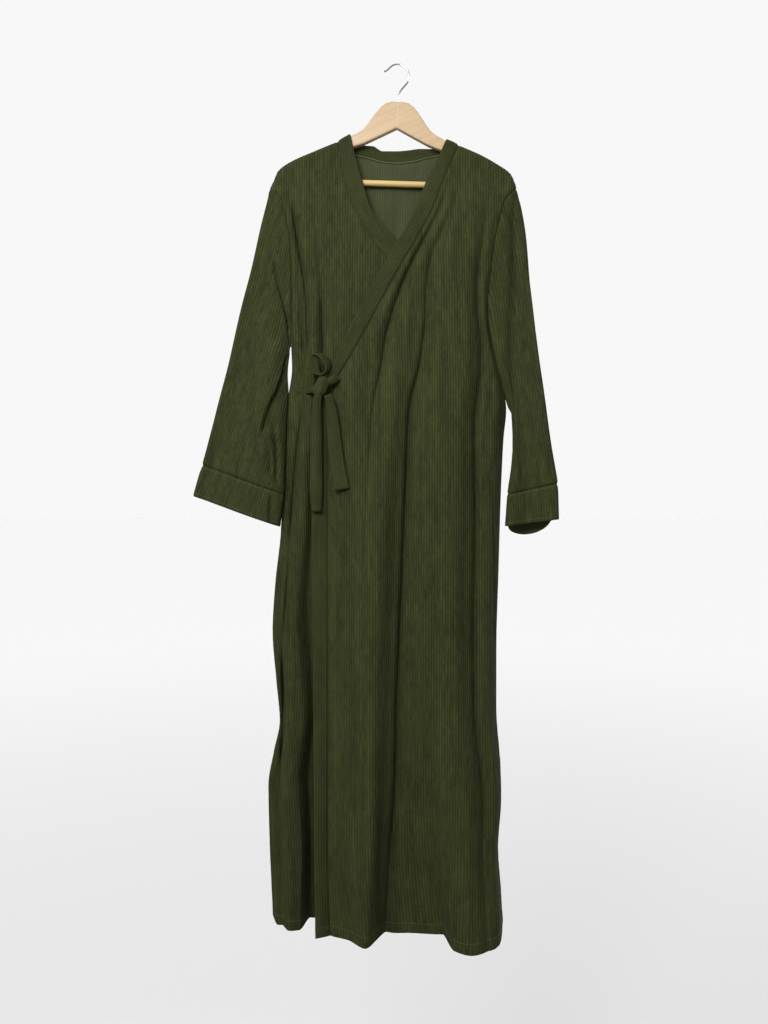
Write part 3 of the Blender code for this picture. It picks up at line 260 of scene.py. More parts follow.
SLEEVE_RIGHT_CREASES = entries(
    Crease,
    (((-231, -365), (-225.5, -404), (-213, -450), (-204.5, -490), (-200, -528)), -7, 1.8, 8, 150),
    (((-206, -545), (-219.5, -607), (-236.3, -645), (-246.1, -676), (-250, -700)), -11.5, 1.6, 20, 120),
    (((-244, -680), (-240.5, -700), (-233, -735), (-230, -780)), -4, 7, 1.6, 200),
    (((-228, -655), (-222.2, -702), (-219, -733.5), (-220, -800)), -7.5, 8, 2.2, 200),
    (((-263, -500), (-266, -620), (-257, -730), (-240, -800)), -5.5, 13, 2.6, 200),
    (((-262, -360), (-285, -520), (-312, -700)), -2, 12, 8),
    (((-233, -795), (-236, -885)), -4, 2, 10, 100),
)
SLEEVE_LEFT_CREASES = entries(
    Crease,
    (((221.5, -235), (221, -300), (219.5, -400), (217.2, -480), (215, -560), (214.8, -650), (216, -720),
      (218.8, -800)), -10, 11, 2.8, 120),
    (((240, -360), (248, -520), (262, -700)), -2.5, 8, 5),
)
PANEL_UNEVENNESS = ((0.0012, 0.035, 0.16, 7), (0.0007, 0.013, 0.09, 8))
SLEEVE_UNEVENNESS = ((0.0012, 0.03, 0.11, 11), (0.0006, 0.012, 0.07, 12))


def eased(t: Array | float) -> Array:
    """Ease from 0 to 1, level at both ends."""
    t = np.clip(t, 0.0, 1.0)
    return t * t * (3 - 2 * t)


def rounded(distance: Array, radius: float, least: float = 0.0) -> Array:
    """Share of the full height that a rounded edge has at distances from it, at least a given one."""
    outside = np.clip(1 - distance / radius, 0.0, 1.0)
    return np.sqrt(np.clip(1 - outside ** 2, least, 1.0))


def tangents(slopes: Array) -> Array:
    """Slopes of a curve at its keys, from those between them (first axis), so that it never overshoots."""
    before, after = slopes[:-1], slopes[1:]
    same = before * after > 0
    inner = np.where(same, 2 * before * after / np.where(same, before + after, 1.0), 0.0)
    return np.concatenate([slopes[:1], inner, slopes[-1:]])


def between(t: Array, ends: Sequence[Array], slopes: Sequence[Array]) -> Array:
    """Values at shares t of the way between two ends, on a curve that has the given slopes there."""
    (low, high), (start, end) = ends, slopes
    rise = high - low
    return low + t * start + t * t * (3 * rise - 2 * start - end) + t ** 3 * (start + end - 2 * rise)


def along(keys: Sequence[float], values: Sequence[float], at: Array | float) -> Array:
    """Values at places between keys, on a smooth curve that never overshoots.

    Args:
        keys: rising or falling places.
        values: one value for each key.
        at: places to read.

    Returns:
        The values, in the shape of at.
    """
    keys, values = np.asarray(keys, float), np.asarray(values, float)
    if keys[0] > keys[-1]:
        keys, values = keys[::-1], values[::-1]
    at = np.clip(np.asarray(at, float), keys[0], keys[-1])
    spans = np.diff(keys)
    slopes = tangents(np.diff(values) / spans)
    spot = np.clip(np.searchsorted(keys, at, side="left") - 1, 0, len(spans) - 1)
    span = spans[spot]
    return between((at - keys[spot]) / span, (values[spot], values[spot + 1]),
                   (slopes[spot] * span, slopes[spot + 1] * span))


def through_folds(shares: Array, depths: Array, spot: Array, at: Array) -> Array:
    """Depth between fold lines, on a smooth curve across them that never overshoots.

    Args:
        shares, depths: place across and depth of each fold (first axis) at every point.
        spot: the fold that each column lies behind.
        at: each point's own place across.

    Returns:
        The depth of every point.
    """
    def of(table: Array, step: int = 0) -> Array:
        """A table's values at the fold that each column lies behind, or a step further."""
        return table[spot + step, :, np.arange(len(spot))].T

    spans = np.diff(shares, axis=0)
    slopes = tangents(np.diff(depths, axis=0) / spans)
    span = of(spans)
    return between((at - of(shares)) / span, (of(depths), of(depths, 1)),
                   (of(slopes) * span, of(slopes, 1) * span))


def on_line(line: Line, level: Array | float) -> Array:
    """X of an (x, z) line at a height."""
    return along([p[1] for p in line], [p[0] for p in line], level)


def height_on(line: Line, x: Array | float) -> Array:
    """Height of an (x, z) line above an X."""
    return along([p[0] for p in line], [p[1] for p in line], x)


def at_level(levels: Sequence[float], z: Array, top_value: float) -> Array:
    """Value of a fold table row at heights, from top_value at the shoulder down."""
    return along(LEVEL_KEYS, (top_value, *levels), z)


def lengths(points: Array) -> Array:
    """Length along a run of points (first axis) up to each of them."""
    return np.concatenate([[0.0], np.cumsum(np.linalg.norm(np.diff(points, axis=0), axis=1))])


def summed(steps: Array) -> Array:
    """Distance along each row from its first point, from the steps between its points."""
    return np.pad(np.cumsum(steps, axis=1), ((0, 0), (1, 0)))


def by_share(line: Line, share: Array) -> Array:
    """Points of a line at shares of its length, one row each."""
    points = np.asarray(line, float)
    runs = lengths(points)
    return np.stack([along(runs, column, share * runs[-1]) for column in points.T], axis=-1)


def rows_like(run: Array, grid: Array) -> Array:
    """One value for each row, repeated over the row's columns."""
    return np.broadcast_to(run[:, None], grid.shape)


def value_noise(x: Array, y: Array, seed: int) -> Array:
    """Smooth noise from -1 to 1 over a plane, the same each run.

    Args:
        x, y: places, with one cell a unit wide.
        seed: which noise.

    Returns:
        One value for each place.
    """
    cells = np.random.default_rng(seed).uniform(-1, 1, (NOISE_CELLS, NOISE_CELLS))
    x0, y0 = np.floor(x).astype(int), np.floor(y).astype(int)
    fx, fy = eased(x - x0), eased(y - y0)
    low, high = (cells[x0 % NOISE_CELLS, row % NOISE_CELLS] * (1 - fx)
                 + cells[(x0 + 1) % NOISE_CELLS, row % NOISE_CELLS] * fx for row in (y0, y0 + 1))
    return low * (1 - fy) + high * fy


def uneven(across: Array, down: Array, layers: Sequence[tuple[float, float, float, int]]) -> Array:
    """The cloth's own unevenness, from layers of noise: height, cell width, cell length and seed of each."""
    return sum(height * value_noise(across / wide, down / long, seed) for height, wide, long, seed in layers)


def trough(offset: Array, depth: Array | float, left: float, right: float) -> Array:
    """Cross-section of a fold.

    Args:
        offset: places across it, 0 at its middle.
        depth: its depth there.
        left, right: over what distance it dies away on each side.

    Returns:
        The depth at each place.
    """
    return depth * np.exp(-(offset / np.where(offset < 0, left, right)) ** 2)


def crease_shape(crease: Crease, x: Array, z: Array) -> Array:
    """Outward push of one crease at (x, z) places."""
    levels = [p[1] for p in crease.line]
    high, low = max(levels), min(levels)
    share = (high - z) / (high - low)
    strength = eased(share / crease.fade) * eased((1 - share) / crease.fade)
    shape = trough(x - on_line(crease.line, z), crease.depth, crease.left, crease.right)
    return np.where((share > 0) & (share < 1), strength * shape, 0.0)


@dataclass(frozen=True)
class Side:
    """One side of the body: its line, its depth level by level, and the coarse row of its armpit."""

    line: Line
    depths: Values
    armpit_row: int

    def gap(self, numbers: Array) -> Array:
        """How far each layer stands from the middle at the armhole, by row number."""
        late = np.clip((numbers / self.armpit_row - ARMHOLE_OPEN) / (1 - ARMHOLE_OPEN), 0, None)
        return ARMHOLE_DEPTH * (1 - late ** 2)

    def edge(self, z: Array, numbers: Array, sign: float) -> Array:
        """Depth of a front's (sign -1) or the back's (1) edge: apart at the armhole, together below it."""
        return np.where(numbers >= self.armpit_row, at_level(self.depths, z, 0.0), sign * self.gap(numbers))


RIGHT = Side(SIDE_RIGHT, SIDE_DEPTH_RIGHT, 11)
LEFT = Side(SIDE_LEFT, SIDE_DEPTH_LEFT, 13)


@dataclass
class Rows:
    """The rows of a body panel, from the shoulder's rounded top to the hem."""

    fine_row: float = 0.0042
    fine_down: float = 0.42
    first_row: float = 0.0150
    cap_rows: Values = (0.0, 0.0004, 0.0010, 0.0018, 0.0030, 0.0046, 0.0068, 0.0100)
    hem_rows: Values = (0.0040, 0.0018, 0.0006)
    depths: Array = field(init=False)
    shares: Array = field(init=False)
    numbers: Array = field(init=False)

    def __post_init__(self) -> None:
        """Lay the rows out and number them as the coarse rows of the solid are numbered."""
        length = TIP_LEVEL - HEM_FRONT
        count = round(self.fine_down / self.fine_row + (length - self.fine_down) / FINE_ROW)
        places = [self.first_row / length, self.fine_down / length, 1 - 2 * self.hem_rows[0] / length]
        body = np.interp(np.arange(count), [0, self.fine_down / self.fine_row, count - 1], places)
        body = np.concatenate([body, [1 - step / length for step in self.hem_rows], [1.0]])
        caps = np.asarray(self.cap_rows)
        self.depths = np.concatenate([caps, np.full(len(body), np.nan)])
        self.shares = np.concatenate([np.full(len(caps), np.nan), body])
        first = len(CAP_STEPS) - 1
        coarse = (CAP_RADIUS / length, *ROW_SHARES)
        self.numbers = np.concatenate([np.interp(caps, CAP_STEPS, range(first + 1)),
                                       np.interp(body, coarse, range(first, first + len(coarse)))])

    def heights(self, top: Array | float, hem: Array | float) -> Array:
        """Heights of every row (first axis) below tops (second axis)."""
        top, hem = np.atleast_1d(top)[None, :], np.atleast_1d(hem)[None, :]
        by_depth = top - self.depths[:, None]
        by_run = top + (hem - top) * self.shares[:, None]
        return np.where(np.isnan(self.depths)[:, None], by_run, by_depth)


@dataclass
class Surface:
    """A grid of points in the middle of the cloth, with its cloth coordinates.

    across runs over the wales and down along them, both in metres of cloth. thin tells how thick the cloth
    is at a point, from 0 at a rounded edge to 1, and ribs how high its wales stand.
    """

    points: Array
    across: Array
    down: Array
    outward: float
    closed: bool = False
    thin: Array | None = None
    looped: bool = False
    ribs: Array | None = None
    normals: Array = field(init=False)

    def __post_init__(self) -> None:
        """Work out the outward normals."""
        normal = np.cross(self.steps(1, self.closed), self.steps(0, self.looped))
        size = np.linalg.norm(normal, axis=2, keepdims=True)
        self.normals = normal / np.where(size > 1e-12, size, 1.0) * self.outward
        full = np.ones(self.across.shape)
        self.thin = full if self.thin is None else self.thin
        self.ribs = full if self.ribs is None else self.ribs

    def steps(self, axis: int, joined: bool) -> Array:
        """Steps along an axis of the grid, carried on over the join where its two ends meet."""
        if not joined:
            return np.gradient(self.points, axis=axis)
        grid = np.moveaxis(self.points, axis, 0)
        grid = np.concatenate([grid[-2:-1], grid, grid[1:2]])
        return np.moveaxis(grid[2:] - grid[:-2], 0, axis)


@dataclass
class Panel:
    """A front of the garment, from its band seam to its armhole and side."""

    folds: tuple[Fold, ...]
    seam: Line
    side: Side
    shoulder: Line
    outward: float
    reference: float
    straight_below: float | None = None
    pinches: tuple[Pinch, ...] = ()
    creases: tuple[Crease, ...] = ()

    layer: ClassVar[float] = -1.0
    lip_away: ClassVar[float] = 0.010
    lip_width: ClassVar[float] = 0.007
    pinch_full: ClassVar[float] = 0.006
    pinch_ribs: ClassVar[float] = 0.75
    hem_round: ClassVar[float] = 0.004

    def surface(self, rows: Rows) -> Surface:
        """The panel's middle surface, with its wales straight down the cloth.

        Args:
            rows: where the rows lie.

        Returns:
            The surface, its first column at the first fold.
        """
        edges = self.edges(rows)
        parts, spots = [], []
        for index, (here, there) in enumerate(zip(self.folds, self.folds[1:])):
            cells = self.cells(here, there)
            t = np.arange(cells + (index == len(self.folds) - 2)) / cells
            place = here.shoulder + (there.shoulder - here.shoulder) * t
            top_y, top = self.top_edge(place)
            z = rows.heights(top, self.hem_level(place))
            low, high = (at_level(fold.share, z, self.top_share(fold)) for fold in (here, there))
            channels = (low + (high - low) * t, z, top - z, np.broadcast_to(top_y, z.shape))
            parts.append(np.stack(channels, axis=-1))
            spots.append(np.full(len(t), index))
        share, z, below, top_y = np.moveaxis(np.concatenate(parts, axis=1), -1, 0)
        start, end = self.felt_edges(edges, share, below)
        x = start + (end - start) * share
        y = self.depth_between(z, rows.numbers[:, None], np.concatenate(spots), share)
        across = self.wales(x, y, z)
        push, pinched = self.relief(x, z, edges, across)
        y = top_y + (y + self.layer * push - top_y) * rounded(below, CAP_RADIUS)
        return Surface(np.stack([x, y, z], axis=-1), across, -z, self.outward,
                       thin=self.hem_thin(z, z[-1:, :]), ribs=1 - self.pinch_ribs * pinched)

    def edges(self, rows: Rows) -> tuple[Array, Array]:
        """X of the first and the last fold, a row each."""
        return (on_line(self.seam, rows.heights(self.shoulder[0][1], HEM_FRONT)),
                on_line(self.side.line, rows.heights(TIP_LEVEL, HEM_FRONT)))

    def cells(self, here: Fold, there: Fold) -> int:
        """How many columns lie between two folds."""
        return PER_FOLD

    def top_edge(self, place: Array) -> tuple[Array | float, Array]:
        """Depth and height of the panel's top edge at places across it."""
        neck_x, tip_x = self.shoulder[0][0], self.shoulder[-1][0]
        return 0.0, height_on(self.shoulder, neck_x + (tip_x - neck_x) * place)

    def hem_level(self, place: Array) -> Array | float:
        """Height of the hem at places across the top edge."""
        return HEM_FRONT

    def felt_edges(self, edges: tuple[Array, Array], share: Array, below: Array) -> tuple[Array, Array]:
        """X of both edges as the columns between them feel it."""
        return edges

    def edge_y(self, fold: Fold, z: Array, numbers: Array) -> Array:
        """Depth of a fold line, or of a side where the fold is one."""
        if fold.depth is None:
            return self.side.edge(z, numbers, self.layer)
        return at_level(fold.depth, z, self.layer * CAP_RADIUS)

    def top_share(self, fold: Fold) -> float:
        """Place of a fold across the shoulder, from 0 to 1."""
        return fold.shoulder

    def depth_between(self, z: Array, numbers: Array, spot: Array, share: Array) -> Array:
        """Depth of every point, from the folds on its two sides.

        Args:
            z: heights.
            numbers: coarse row numbers.
            spot: the fold that each column lies behind.
            share: places across the panel.

        Returns:
            The depths, in the shape of z.
        """
        shares = np.stack([at_level(fold.share, z, self.top_share(fold)) for fold in self.folds])
        depths = np.stack([np.broadcast_to(self.edge_y(fold, z, numbers), z.shape) for fold in self.folds])
        return through_folds(shares, depths, spot, share)

    def wales(self, x: Array, y: Array, z: Array) -> Array:
        """Cloth distance across the wales from a straight reference wale."""
        over = np.diff(x, axis=1)
        run = summed(np.hypot(over, np.diff(y, axis=1)) * np.sign(over))
        for row in range(len(x)):
            order = 1 if x[row, -1] > x[row, 0] else -1
            run[row] -= np.interp(self.reference, x[row, ::order], run[row, ::order])
        if self.straight_below is not None:
            first = np.argmin(np.abs(z[:, 0] - self.straight_below))
            scale = np.where(z[:, 0] < self.straight_below, run[first, 0] / run[:, 0], 1.0)
            run = np.where(run < 0, run * scale[:, None], run)
        return run

    def relief(self, x: Array, z: Array, edges: tuple[Array, Array], across: Array) -> tuple[Array, Array]:
        """What pinches, creases and the cloth's own unevenness add.

        Args:
            x, z: places.
            edges: where the panel's edges are at each height.
            across: cloth coordinate over the wales.

        Returns:
            Push away from the garment's middle, and how closely the cloth is pinched, from 0 to 1.
        """
        push = uneven(across, z, PANEL_UNEVENNESS)
        pinched = np.zeros(x.shape)
        for pinch in self.pinches:
            fold = next(f for f in self.folds if f.name == pinch.fold)
            offset = x - (edges[0] + (edges[1] - edges[0]) * at_level(fold.share, z, fold.shoulder))
            depth = at_level(pinch.depth, z, 0.0)
            push += trough(offset, -depth, pinch.left, pinch.right)
            crisp = -1.0 if pinch.left < pinch.right else 1.0
            push += pinch.lip * depth * np.exp(-((offset - crisp * self.lip_away) / self.lip_width) ** 2)
            near = trough(offset, 1.0, 1.3 * pinch.left, 1.3 * pinch.right)
            pinched = np.maximum(pinched, near * np.clip(depth / self.pinch_full, 0, 1))
        for crease in self.creases:
            push += crease_shape(crease, x, z)
        return push, pinched

    @classmethod
    def hem_thin(cls, z: Array, hem: Array | float) -> Array:
        """Thickness share that rounds the hem's edge."""
        return rounded(z - hem, cls.hem_round, 0.04)


@dataclass
class BackPanel(Panel):
    """The back in one piece, from the right side to the left, with the neckline cut into its top."""

    other: Side = LEFT

    layer: ClassVar[float] = 1.0
    share_per_fold: ClassVar[float] = 0.12
    least_cells: ClassVar[int] = 6

    def edges(self, rows: Rows) -> tuple[Array, Array]:
        """X of the right and the left side, a row each."""
        z = rows.heights(TIP_LEVEL, HEM_FRONT)
        return on_line(self.side.line, z), on_line(self.other.line, z)

    def cells(self, here: Fold, there: Fold) -> int:
        """How many columns lie between two folds: more where they are further apart."""
        gap = abs(there.share[2] - here.share[2])
        return max(self.least_cells, round(PER_FOLD * gap / self.share_per_fold))

    def top_edge(self, place: Array) -> tuple[Array, Array]:
        """Depth and height of the back's top edge at an X."""
        keys, depths, levels = zip(*NECKLINE)
        before, after = place <= keys[0], place >= keys[-1]
        y = np.where(before | after, 0.0, along(keys, depths, place))
        z = np.where(before, height_on(SHOULDER_RIGHT, place),
                     np.where(after, height_on(SHOULDER_LEFT, place), along(keys, levels, place)))
        return y, z

    def hem_level(self, place: Array) -> Array:
        """Height of the hem, which rises a little away from the sides."""
        right, left = self.folds[0].shoulder, self.folds[-1].shoulder
        inward = np.minimum(place - right, left - place) / (left - right) / HEM_EASE
        return HEM_FRONT + (HEM_BACK - HEM_FRONT) * np.minimum(1.0, inward)

    def felt_edges(self, edges: tuple[Array, Array], share: Array, below: Array) -> tuple[Array, Array]:
        """X of both sides: near the shoulder only the columns close to the armhole follow it in."""
        felt = []
        for edge, fold, inside in zip(edges, (self.folds[0], self.folds[-1]), (share, 1 - share)):
            near = np.clip(1 - inside / ARMHOLE_REACH, 0, 1)
            follow = near + (1 - near) * eased(below / SHOULDER_REACH)
            felt.append(fold.shoulder + (edge - fold.shoulder) * follow)
        return felt[0], felt[1]

    def edge_y(self, fold: Fold, z: Array, numbers: Array) -> Array:
        """Depth of a fold line, or of a side where the fold is one."""
        if fold is self.folds[-1]:
            return self.other.edge(z, numbers, self.layer)
        return super().edge_y(fold, z, numbers)

    def top_share(self, fold: Fold) -> float:
        """Place of a fold across both shoulders, from 0 to 1."""
        return (fold.shoulder - self.folds[0].shoulder) / (self.folds[-1].shoulder - self.folds[0].shoulder)


@dataclass
class Sleeve:
    """A sleeve with its cuff: an outer and an inner edge, and the tube between them."""

    outer: Line
    inner: Line
    cuff_ends: tuple[Pair, Pair]
    half_gap: float
    forward: float
    swing: float
    flare: float
    side: Side
    outward: float
    cut: Pair
    cut_area: float
    cuff_cut: Pair
    creases: tuple[Crease, ...]
    cuff_step: float = 0.0012
    leaves: float = 0.45
    outer_round: float = 0.035
    inner_round: float = 0.18
    wave: Pair = (1.7, 0.35)
    wave_rate: float = 1.4
    flare_share: float = 0.6
    flare_span: Pair = (0.10, 0.82)
    notch: float = 0.0030
    notch_reach: float = 0.006
    seam_reach: float = 0.012
    armhole_reach: float = 0.02
    back_crease: float = 0.6
    cells: int = 110
    first_rings: Values = (0.0, 0.006, 0.014)
    rings: tuple[float, float, int] = (0.026, 1.0, 104)
    cuff_rings: tuple[float, float, int] = (0.0, 0.93, 13)
    cuff_last: Values = (0.965, 0.985, 1.0)
    cuff_round: float = 0.06

    def hole(self) -> tuple[Array, Array]:
        """The armhole's points as one open run: from the armpit up the back and down the front to it again.

        Returns:
            The points, and for each one -1 on the front or 1 on the back.
        """
        numbers = np.linspace(0, self.side.armpit_row, self.cells + 1)
        levels = [TIP_LEVEL - step for step in CAP_STEPS]
        levels += [TIP_LEVEL + (HEM_FRONT - TIP_LEVEL) * share for share in ROW_SHARES]
        z = along(range(len(levels)), levels, numbers)
        x = on_line(self.side.line, z)
        y = self.side.gap(numbers) * rounded(TIP_LEVEL - z, CAP_RADIUS)
        front = np.stack([x, -y, z], axis=-1)
        back = np.stack([x, y, z], axis=-1)[::-1]
        signs = np.concatenate([np.ones(len(back) - 1), -np.ones(len(front) - 1), [1.0]])
        return np.concatenate([back[:-1], front]), signs

    def section(self, share: float, outer: Array, inner: Array, grow: float, flare: float) -> Array:
        """One ring of the tube.

        Args:
            share: how far down the sleeve it lies.
            outer, inner: its two edges.
            grow: what it is wider than the sleeve.
            flare: how far its back hangs lower than its front.

        Returns:
            Its points, in the order of the armhole's.
        """
        base, signs = self.hole()
        start, end = np.asarray(self.outer[0]), np.asarray(self.inner[0])
        chord = end - start
        leave = float(eased(share / self.leaves))
        flat = base[:, [0, 2]]
        t = np.clip(((flat - start) @ chord) / (chord @ chord), 0, 1)
        spot = outer + (inner - outer) * t[:, None]
        bend = (flat - (start + chord * t[:, None])) * (1 - leave)
        gap = (self.half_gap + grow) * rounded(t, self.outer_round) * rounded(1 - t, self.inner_round)
        wave = self.swing * np.sin(math.pi * (self.wave[0] * t + self.wave[1]))
        middle = self.forward * float(eased(share)) + wave * float(eased(share * self.wave_rate))
        y = base[:, 1] + (middle + signs * gap - base[:, 1]) * leave
        lens = np.sqrt(np.sin(math.pi * np.clip((t - self.flare_span[0]) / self.flare_span[1], 0, 1)))
        drop = flare * lens * eased((y - middle) / (2 * self.half_gap) + 0.5)
        return np.stack([spot[:, 0] + bend[:, 0], y, spot[:, 1] + bend[:, 1] - drop], axis=-1)

    def surface(self) -> Surface:
        """The sleeve's tube, from the armhole to the cuff's seam."""
        shares = np.concatenate([self.first_rings, np.linspace(*self.rings)])
        edges = zip(shares, by_share(self.outer, shares), by_share(self.inner, shares))
        grid = np.stack([self.section(share, outer, inner, 0.0, self.flare * self.flare_share * share ** 3)
                         for share, outer, inner in edges])
        toward = grid[4, 0] - grid[0, 0]
        near = np.exp(-np.linalg.norm(grid[0] - grid[0, 0], axis=1) / self.notch_reach)
        grid[0] += toward / np.linalg.norm(toward) * self.notch * near[:, None]
        return self.clothed(grid, np.ones(grid.shape[:2]))

    def cuff_surface(self) -> Surface:
        """The cuff's tube, from its seam to its folded end."""
        shares = np.concatenate([np.linspace(*self.cuff_rings), self.cuff_last])
        start, end = np.asarray([self.outer[-1], self.inner[-1]]), np.asarray(self.cuff_ends)
        rings = []
        for share in shares:
            flare = self.flare * (self.flare_share + (1 - self.flare_share) * share)
            rings.append(self.section(1.0, *(start + (end - start) * share), self.cuff_step * share, flare))
        grid = np.stack(rings)
        return self.clothed(grid, rows_like(rounded(1 - shares, self.cuff_round, 0.05), grid[..., 0]))

    def clothed(self, grid: Array, thin: Array) -> Surface:
        """Give a tube its wales, which run down the sleeve and away from its outer edge."""
        start = np.asarray(self.outer[0])
        direction = np.asarray(self.outer[-1]) - start
        direction /= np.linalg.norm(direction)
        flat = grid[..., [0, 2]]
        over = np.diff(flat @ np.array([-direction[1], direction[0]]), axis=1)
        run = summed(np.hypot(over, np.diff(grid[..., 1], axis=1)))
        run -= run[:, self.cells:self.cells + 1]
        down = (flat - start) @ direction
        plain = Surface(grid, run, down, self.outward, closed=True)
        push = uneven(run, down, SLEEVE_UNEVENNESS)
        strength = np.where(np.arange(grid.shape[1]) >= self.cells, 1.0, self.back_crease)
        for crease in self.creases:
            push = push + strength * crease_shape(crease, grid[..., 0], grid[..., 2])
        ends = np.clip(np.minimum(run - run[:, :1], run[:, -1:] - run) / self.seam_reach, 0, 1)
        first = eased(np.abs(down - down[0]) / self.armhole_reach + 0.05)
        moved = grid + plain.normals * (push * ends * first)[..., None]
        return Surface(moved, run, down, self.outward, closed=True, thin=thin)


class Edge(Enum):
    """An edge of a cloth grid."""

    FIRST_COLUMN = "first column"
    LAST_COLUMN = "last column"
    TOP = "top row"
    BOTTOM = "bottom row"


class Hold(Enum):
    """How a sheet of cloth is held."""

    HUNG = "hung"
    FOLDED = "folded"


COLUMN_EDGES = (Edge.FIRST_COLUMN, Edge.LAST_COLUMN)


@dataclass
class Cloth:
    """One piece of corduroy with its wales standing up from its outer side."""

    name: str
    surface: Surface
    thickness: float = CLOTH
    seams: tuple[Edge, ...] = COLUMN_EDGES
    turn_up: float = 0.0
    lining: float = LINING_STEP
    rib: float = WALE_HEIGHT
    seam_draw: float = 0.0009
    seam_reach: float = 0.0045
    turned_thicker: float = 0.0005
    turned_ease: float = 0.003
    stitch_draw: float = 0.0008
    stitch_reach: float = 0.0016
    stitch_seat: float = 0.6
    stitch_inside: float = 0.0001
    edge_clear: float = 0.3

    def __post_init__(self) -> None:
        """Turn the grid so that its cloth coordinate rises across it, and measure its edges."""
        s = self.surface
        if s.across[:, -1].mean() < s.across[:, 0].mean():
            swap = dict(zip(COLUMN_EDGES, reversed(COLUMN_EDGES)))
            self.seams = tuple(swap.get(edge, edge) for edge in self.seams)
            for part in ("points", "normals", "thin", "ribs", "across", "down"):
                setattr(s, part, getattr(s, part)[:, ::-1])
        s.across = np.maximum.accumulate(s.across, axis=1) + np.arange(s.across.shape[1]) * 1e-9
        left = summed(np.linalg.norm(np.diff(s.points, axis=1), axis=2))
        top = summed(np.linalg.norm(np.diff(s.points, axis=0), axis=2).T).T
        self.reach = {Edge.FIRST_COLUMN: left, Edge.LAST_COLUMN: left[:, -1:] - left,
                      Edge.TOP: top, Edge.BOTTOM: top[-1:] - top}

    def lift(self) -> tuple[Array, Array, Array]:
        """How far the outer side, its ribs and the inner side stand off the middle, all over the grid."""
        thin = self.surface.thin
        inner = thin * self.thickness / 2
        stand, rib = inner, self.rib * thin * self.surface.ribs
        for edge in self.seams:
            near = eased(self.reach[edge] / self.seam_reach)
            stand = stand - self.seam_draw * (1 - near)
            rib = rib * near
        if self.turn_up:
            from_hem = self.reach[Edge.BOTTOM]
            doubled = self.turned_thicker * eased((self.turn_up - from_hem) / self.turned_ease)
            drawn = self.stitch_draw * np.exp(-((from_hem - self.turn_up) / self.stitch_reach) ** 2)
            stand = stand + doubled * thin - drawn
        return stand, rib, inner

    def line(self, edge: Edge, distance: float, start: float = 0.0, end: float = 1.0,
             inner: bool = False) -> Array:
        """Points on a side of the cloth at a distance from an edge, for a run of stitches.

        Args:
            edge: the edge that the line follows.
            distance: how far it lies from the edge.
            start, end: which share of the edge it follows.
            inner: whether it lies on the inner side.

        Returns:
            The points, one row each.
        """
        stand, rib, inside = self.lift()
        away = -inside - self.stitch_inside if inner else stand + rib * self.stitch_seat
        side = self.surface.points + self.surface.normals * away[..., None]
        reach = self.reach[edge]
        if edge not in COLUMN_EDGES:
            side, reach = side.transpose(1, 0, 2), reach.T
        last = len(reach) - 1
        found = []
        for index in range(int(start * last), int(end * last) + 1):
            order = slice(None, None, 1 if reach[index, -1] > reach[index, 0] else -1)
            found.append([np.interp(distance, reach[index, order], axis[order]) for axis in side[index].T])
        return np.asarray(found)

    def build(self, outside: Material, inside: Material) -> bpy.types.Object:
        """Make the closed mesh: ribbed outer side, plain inner side, and rims at the cut edges.

        Args:
            outside: the finish of the outer side and the rims.
            inside: the finish of the inner side.

        Returns:
            The piece, declared to ride on the root.
        """
        s = self.surface
        channels = np.concatenate([s.points, s.normals, np.stack([*self.lift(), s.down], axis=2)], axis=2)
        vertices: list[Array] = []
        marks: list[Array] = []
        sides: list[list[tuple[int, Array]]] = []
        total = 0
        for outer, spacing in ((True, WALE_PITCH / SAMPLES_PER_WALE), (False, self.lining)):
            rows = []
            for u, row in zip(s.across, channels):
                first = math.ceil(u[0] / spacing + self.edge_clear)
                last = math.floor(u[-1] / spacing - self.edge_clear)
                places = np.concatenate([[u[0]], np.arange(first, last + 1) * spacing, [u[-1]]])
                got = np.stack([np.interp(places, u, channel) for channel in row.T], axis=1)
                normal = got[:, 3:6] / np.linalg.norm(got[:, 3:6], axis=1, keepdims=True)
                phase = places / WALE_PITCH - np.round(places / WALE_PITCH)
                away = got[:, 6] + got[:, 7] * (1 - (2 * phase) ** 2) if outer else -got[:, 8]
                vertices.append(got[:, :3] + normal * away[:, None])
                marks.append(np.stack([places, got[:, 9]], axis=1))
                rows.append((total, places))
                total += len(places)
            sides.append(rows)
        strips = [[face for pair in zip(rows, rows[1:]) for face in zipped(*pair)] for rows in sides]
        rims = self.rims(sides)
        slots = [0] * len(strips[0]) + [1] * len(strips[1]) + [0] * len(rims)
        weld = 1e-5 if s.closed or s.looped else 0.0
        made = mesh_object(f"{self.name}_cloth", np.concatenate(vertices), [*strips[0], *strips[1], *rims],
                           (outside, inside), slots, np.concatenate(marks), weld)
        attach(made, "root")
        log.info("%s: %d faces", self.name, len(made.data.polygons))
        return made

    def rims(self, sides: list[list[tuple[int, Array]]]) -> list[tuple[int, ...]]:
        """Faces that close the cloth between its outer and its inner side, at the edges that don't meet."""
        faces = []
        for end in () if self.surface.looped else (0, -1):
            faces += zipped(sides[0][end], sides[1][end])
        for last in () if self.surface.closed else (False, True):
            outer, inner = ([start + last * (len(places) - 1) for start, places in rows] for rows in sides)
            faces += list(zip(outer, outer[1:], inner[1:], inner))
        return faces


